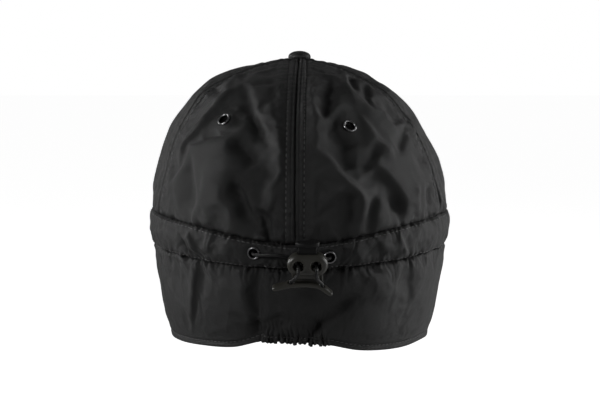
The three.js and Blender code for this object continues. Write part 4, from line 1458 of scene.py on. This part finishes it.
class EARFLAP_OT_lock(bpy.types.Operator):
    """Makes the cord lock's body and its plunger"""

    bl_idname = "earflap.lock"
    bl_label = "Cord lock"

    def execute(self, context):
        cutters = [slab(rectangle(SLOT_HALF_WIDTH, 9, -7), -SLOT_HALF_DEPTH, SLOT_HALF_DEPTH, 0.2, 1)]
        for cord in CORDS:
            x, y, z = cord["in_lock"][-1]
            bore = cord["sign"] * BORE_OFFSET
            cutters += [
                rod(BORE_RADIUS, (bore, 0, 12), (bore, 0, -12)),
                rod(BORE_RADIUS, (bore, 0, 6.2), (bore, 0, 3.6), BORE_MOUTH + 0.6),
                rod(EYE_RADIUS, (x, y + 4, z), (x, y - 4, z)),
                rod(EYE_RADIUS, (x, y + 4, z), (x, y + 1, z), EYE_MOUTH),
            ]
        outlines = {
            "barrel": stadium(LOBE_OFFSET + LOBE_RADIUS, -LOBE_RADIUS, LOBE_RADIUS, 20),
            "waist": rectangle(*WAIST),
            "shelf": rectangle(*SHELF),
            "foot": foot_outline(),
        }
        parts = [slab(outline, *LOCK_SLABS[name]) for name, outline in outlines.items()]
        parts += [lobe(-1), lobe(1)]
        name = "lock_body_moulding"
        mesh = moulded(name, parts, cutters, 5, "moulded plastic")
        shown(name, mesh, nodes=("cord_lock_body",))
        wide = BLADE_HALF_WIDTH
        neck = BLADE_NECK
        top, shoulder, hip, toe = BLADE_HEIGHTS
        blade = [
            (wide, top), (wide, shoulder), (neck, shoulder), (neck, hip), (wide, hip), (wide, toe),
        ]
        blade += [(-x, y) for x, y in reversed(blade)]
        blade = slab(blade, -BLADE_HALF_DEPTH, BLADE_HALF_DEPTH, 0.25, 2)

        def cap(bm):
            turns = np.linspace(0, 2 * math.pi, 48, endpoint=False)
            oval = [(CAP_HALF_WIDTH * math.cos(turn), CAP_HALF_DEPTH * math.sin(turn)) for turn in turns]
            slab(oval, 0, CAP_HEIGHT, 0.9, 4)(bm)
            upright = Matrix.Translation((0, CAP_SEAT, 0)) @ Matrix.Rotation(math.radians(-90), 4, "X")
            bmesh.ops.transform(bm, matrix=upright, verts=bm.verts)

        name = "lock_plunger_moulding"
        mesh = moulded(name, [blade, cap], [], 3, "plunger plastic")
        shown(name, mesh, body="plunger", nodes=("cord_lock_plunger",))
        return {"FINISHED"}


def smooth_route(points, steps):
    """A centripetal Catmull-Rom curve through a route, sampled evenly in its parameter."""
    points = [Vector(p) for p in points]
    points = [points[0] * 2 - points[1], *points, points[-1] * 2 - points[-2]]
    samples = []
    for i in range(1, len(points) - 2):
        p = points[i - 1 : i + 3]
        t = [0.0]
        for a, b in zip(p[:-1], p[1:]):
            t.append(t[-1] + math.sqrt((b - a).length))
        for step in range(steps):
            at = t[1] + (t[2] - t[1]) * step / steps
            a = [p[k].lerp(p[k + 1], (at - t[k]) / (t[k + 1] - t[k])) for k in range(3)]
            b = [a[k].lerp(a[k + 1], (at - t[k]) / (t[k + 2] - t[k])) for k in range(2)]
            samples.append(b[0].lerp(b[1], (at - t[1]) / (t[2] - t[1])))
    samples.append(points[-2])
    return samples


def tube_mesh(name, path, radius, sides):
    """A tube along a path, with a UV map of metres along it and turns round it."""
    steps = len(path) - 1
    frames = []
    side = (path[1] - path[0]).orthogonal().normalized()
    length = 0
    for i, point in enumerate(path):
        ahead = (path[min(i + 1, steps)] - path[max(i - 1, 0)]).normalized()
        side = (side - ahead * side.dot(ahead)).normalized()
        length += (point - path[max(i - 1, 0)]).length
        frames.append((point, side.copy(), ahead.cross(side), length))
    bm = bmesh.new()
    chart = bm.loops.layers.uv.new("UVMap")
    bmesh.ops.create_grid(bm, x_segments=steps, y_segments=sides, size=0.5)
    for face in bm.faces:
        for loop in face.loops:
            x, y = loop.vert.co.x + 0.5, loop.vert.co.y + 0.5
            loop[chart].uv = (frames[round(x * steps)][3], y)
    for vert in bm.verts:
        x, y = vert.co.x + 0.5, vert.co.y + 0.5
        point, across, up, _ = frames[round(x * steps)]
        turn = -2 * math.pi * y
        vert.co = point + (across * math.cos(turn) + up * math.sin(turn)) * radius
    bmesh.ops.remove_doubles(bm, verts=bm.verts, dist=radius * 0.02)
    bmesh.ops.holes_fill(bm, edges=bm.edges, sides=sides)
    bmesh.ops.recalc_face_normals(bm, faces=bm.faces)
    return mesh_of(name, bm)


class EARFLAP_OT_cord(bpy.types.Operator):
    """Makes the two visible ends of the elastic cord"""

    bl_idname = "earflap.cord"
    bl_label = "Drawcord"

    def execute(self, context):
        radius = context.scene.earflap_sizes.cord_radius
        lock = lock_matrix()
        for cord in CORDS:
            side = cord["side"]
            seat = seat_on("tunnel_cloth", *CORD_EYELETS[side])
            out = seat.to_3x3() @ Vector((0, 0, 1))
            across = Vector((-cord["sign"], 0, 0))
            across = (across - out * across.dot(out)).normalized()
            route = [seat.translation + (across * x + out * z) * MM for x, z in CORD_FROM_EYELET]
            route += [lock @ (Vector(p) * MM) for p in cord["in_lock"]]
            mesh = tube_mesh(f"cord_end_{side}", smooth_route(route, 9), radius, 16)
            dress(mesh, "braided cord")
            shown(f"cord_end_{side}", mesh, nodes=(f"drawcord_{side}",))
        return {"FINISHED"}


# Stitching: the thread, the share of each step that a stitch fills, the rows beside the tunnel's lines
# and along the hem, as piece, end azimuth, points, line and distance from it, and the peak's rows
STITCH_RADIUS = 0.29
STITCH_SHARE = 0.78
BAND_ROWS = (
    ("tunnel_cloth", 121.5, 900, tunnel_top, -1.7),
    ("tunnel_cloth", 121.5, 900, rim_height, 1.7),
    ("flap_cloth", 121.8, 1200, hem_height, 2.8),
)
PEAK_ROWS = 7
PEAK_ROW_GAP = 0.122


def stitch_rows(sizes):
    """Every row of stitching on the cloth, as a piece, and arrays of azimuth and height."""
    rows = []
    for panel in PANELS:
        for seam, sign in ((panel.start, 1), (panel.end, -1)):
            lowest = float(dome_angle(panel_foot(panel, seam) + 1.2))
            height = dome_rise(np.linspace(lowest, math.radians(84), 200))
            offset = np.degrees(sizes.seam_band / MM / round_scale(seam, height))
            inside = offset < abs(panel.end - panel.start) / 2 - 1
            rows.append((f"crown_cloth_{panel.name}", (seam + sign * offset)[inside], height[inside]))
    for piece, end, count, line, gap in BAND_ROWS:
        azimuth = np.linspace(-end, end, count)
        rows.append((piece, azimuth, line(azimuth) + gap))
    return rows


def stitch(bm, begin, end, ahead, normal):
    """One stitch, as a ball drawn out between two points on the cloth."""
    radius = STITCH_RADIUS * MM
    across = normal.cross(ahead).normalized()
    turn = Matrix((ahead, across, ahead.cross(across))).transposed().to_4x4()
    place = Matrix.Translation((begin + end) / 2 + normal * radius * 0.35) @ turn
    upright = Matrix.Rotation(math.pi / 2, 4, "Y")
    size = Matrix.Diagonal((radius, radius, (end - begin).length / 2 + radius * 0.4, 1))
    bmesh.ops.create_uvsphere(bm, u_segments=6, v_segments=4, radius=1, matrix=place @ upright @ size)


def sew(bm, tree, starts, outs, length):
    """Lays stitches over the cloth along a dense row of points above it."""
    hits = []
    for start, out in zip(starts, outs):
        hit, normal, _, _ = tree.ray_cast(start + out * 9 * MM, -out, 18 * MM)
        if hit:
            hits.append((hit, normal if normal.dot(out) > 0 else -normal))
    begin = previous = hits[0][0]
    travelled = 0
    for hit, normal in hits[1:]:
        travelled += (hit - previous).length
        previous = hit
        if travelled < length * STITCH_SHARE:
            end = hit
        elif travelled >= length:
            stitch(bm, begin, end, (hit - begin).normalized(), normal)
            begin = hit
            travelled = 0


class EARFLAP_OT_stitching(bpy.types.Operator):
    """Sews the topstitching of the crown, the tunnel, the hem and the peak"""

    bl_idname = "earflap.stitching"
    bl_label = "Stitching"

    def execute(self, context):
        sizes = context.scene.earflap_sizes
        graph = context.evaluated_depsgraph_get()
        sewn = defaultdict(bmesh.new)
        trees = {}
        for piece, azimuth, height in stitch_rows(sizes):
            if piece not in trees:
                trees[piece] = BVHTree.FromObject(bpy.data.objects[piece], graph)
            group = "crown_stitches" if piece.startswith("crown") else piece.replace("cloth", "stitches")
            starts = [Vector(p) for p in shell(azimuth, height) * MM]
            outs = [Vector(v) for v in outward(azimuth, height)]
            sew(sewn[group], trees[piece], starts, outs, sizes.stitch_length)
        tree = BVHTree.FromObject(bpy.data.objects["peak_cover"], graph)
        across = np.linspace(0.03, 0.97, 700)
        outs = [Vector((0, 0, 1))] * len(across)
        for row in range(1, PEAK_ROWS + 1):
            points = peak_top(across, np.full_like(across, 1 - PEAK_ROW_GAP * row + 0.06))
            starts = [Vector(p) * MM for p in points]
            sew(sewn["peak_stitches"], tree, starts, outs, sizes.stitch_length)
        for name, bm in sewn.items():
            mesh = mesh_of(name, bm)
            dress(mesh, "sewing thread")
            shown(name, mesh)
        return {"FINISHED"}


# The light and the camera, in metres, watts and degrees
WHITE = (1, 1, 1, 1)
MIDDLE = (0, 0, 0.03)
CROWN_TOP = (0, 0, 0.15)
CAMERA_TARGET = (0.0003, 0, 0.0284)
SENSOR_WIDTH = 36
FLOOR_HEIGHT = -0.22
Light = namedtuple("Light", "name place target size power spread", defaults=(180,))
LIGHTS = (
    Light("key from the left", (-1.3, -0.75, 0.6), CROWN_TOP, (0.5, 0.5), 0.58, spread=30),
    Light("fill from the right", (1.4, -0.5, 0.45), MIDDLE, (0.5, 0.5), 3.9),
    Light("rim from the left", (-1.3, 0.55, 0.4), CROWN_TOP, (0.5, 0.6), 0.55, spread=30),
    Light("rim from the right", (1.3, 0.55, 0.35), MIDDLE, (0.5, 0.8), 9.5),
)


def area_light(light):
    lamp = bpy.data.lights.new(light.name, "AREA")
    lamp.shape = "RECTANGLE"
    lamp.size, lamp.size_y = light.size
    lamp.energy = light.power
    lamp.spread = math.radians(light.spread)
    obj = bpy.data.objects.new(light.name, lamp)
    obj.location = light.place
    obj.rotation_euler = (Vector(light.target) - Vector(light.place)).to_track_quat("-Z", "Y").to_euler()
    bpy.context.scene.collection.objects.link(obj)


class EARFLAP_OT_stage(bpy.types.Operator):
    """Sets the pale floor, the white studio light and the camera"""

    bl_idname = "earflap.stage"
    bl_label = "Stage"

    def execute(self, context):
        scene = context.scene
        studio = scene.earflap_studio
        scene.view_settings.view_transform = "Standard"
        self.floor(scene.earflap_colours.floor)
        self.sky(studio.sky)
        for light in LIGHTS:
            area_light(light)
        target = Vector(CAMERA_TARGET)
        back = Vector((0, -math.cos(studio.elevation), math.sin(studio.elevation)))
        camera = bpy.data.objects.new("camera", bpy.data.cameras.new("camera"))
        camera.data.lens = studio.lens
        camera.data.sensor_width = SENSOR_WIDTH
        camera.location = target + back * studio.distance
        camera.rotation_euler = (-back).to_track_quat("-Z", "Y").to_euler()
        scene.collection.objects.link(camera)
        scene.camera = camera
        return {"FINISHED"}

    def floor(self, colour):
        bm = bmesh.new()
        bmesh.ops.create_grid(bm, x_segments=8, y_segments=8, size=6)
        bmesh.ops.translate(bm, verts=bm.verts, vec=(0, 0, FLOOR_HEIGHT))
        mesh = mesh_of("floor", bm)
        material, tree, shader = fresh_material("pale floor")
        tint(tree, shader, noise_of(tree, Scale=6.0, Detail=4.0), colour, 0.985, 1)
        set_inputs(shader, Roughness=0.9, Emission_Color=WHITE)
        seen = node(tree, "ShaderNodeLightPath").outputs["Is Camera Ray"]
        tree.links.new(maths(tree, "MULTIPLY", seen, 0.9), shader.inputs["Emission Strength"])
        mesh.materials.append(material)
        floor = bpy.data.objects.new("floor", mesh)
        bpy.context.scene.collection.objects.link(floor)

    def sky(self, strength):
        """White behind the cap, and a softer light from all round on it."""
        world = bpy.data.worlds.new("studio")
        world.use_nodes = True
        tree = world.node_tree
        light = tree.nodes["Background"]
        set_inputs(light, Color=WHITE, Strength=strength)
        behind = node(tree, "ShaderNodeBackground", Color=WHITE, Strength=1.0)
        mix = node(tree, "ShaderNodeMixShader")
        tree.links.new(node(tree, "ShaderNodeLightPath").outputs["Is Camera Ray"], mix.inputs[0])
        tree.links.new(light.outputs[0], mix.inputs[1])
        tree.links.new(behind.outputs[0], mix.inputs[2])
        tree.links.new(mix.outputs[0], tree.nodes["World Output"].inputs["Surface"])
        bpy.context.scene.world = world


STEPS = (
    EARFLAP_OT_stage,
    EARFLAP_OT_finishes,
    EARFLAP_OT_crown,
    EARFLAP_OT_tunnel,
    EARFLAP_OT_flap,
    EARFLAP_OT_peak,
    EARFLAP_OT_button,
    EARFLAP_OT_eyelets,
    EARFLAP_OT_lock,
    EARFLAP_OT_cord,
    EARFLAP_OT_stitching,
)


class EARFLAP_PT_panel(bpy.types.Panel):
    """Lists the steps that dress the cap"""

    bl_idname = "EARFLAP_PT_panel"
    bl_label = "Earflap Cap"
    bl_space_type = "VIEW_3D"
    bl_region_type = "UI"
    bl_category = "Earflap Cap"

    def draw(self, context):
        for step in STEPS:
            self.layout.operator(step.bl_idname)
        for group in ("earflap_sizes", "earflap_colours", "earflap_studio"):
            settings = getattr(context.scene, group)
            box = self.layout.box()
            for name in settings.__annotations__:
                box.prop(settings, name)


GROUPS = {"earflap_sizes": CapSizes, "earflap_colours": CapColours, "earflap_studio": CapStudio}


def register():
    for made in (*GROUPS.values(), *STEPS, EARFLAP_PT_panel):
        bpy.utils.register_class(made)
    for name, group in GROUPS.items():
        setattr(bpy.types.Scene, name, bpy.props.PointerProperty(type=group))


def unregister():
    for name in GROUPS:
        delattr(bpy.types.Scene, name)
    for made in (EARFLAP_PT_panel, *reversed(STEPS), *GROUPS.values()):
        bpy.utils.unregister_class(made)


def main():
    register()
    bpy.ops.earflap.stage()
    bpy.ops.earflap.finishes()
    bpy.ops.earflap.crown()
    bpy.ops.earflap.tunnel()
    bpy.ops.earflap.flap()
    bpy.ops.earflap.peak()
    bpy.ops.earflap.button()
    bpy.ops.earflap.eyelets()
    bpy.ops.earflap.lock()
    bpy.ops.earflap.cord()
    bpy.ops.earflap.stitching()


if __name__ == "__main__":
    main()
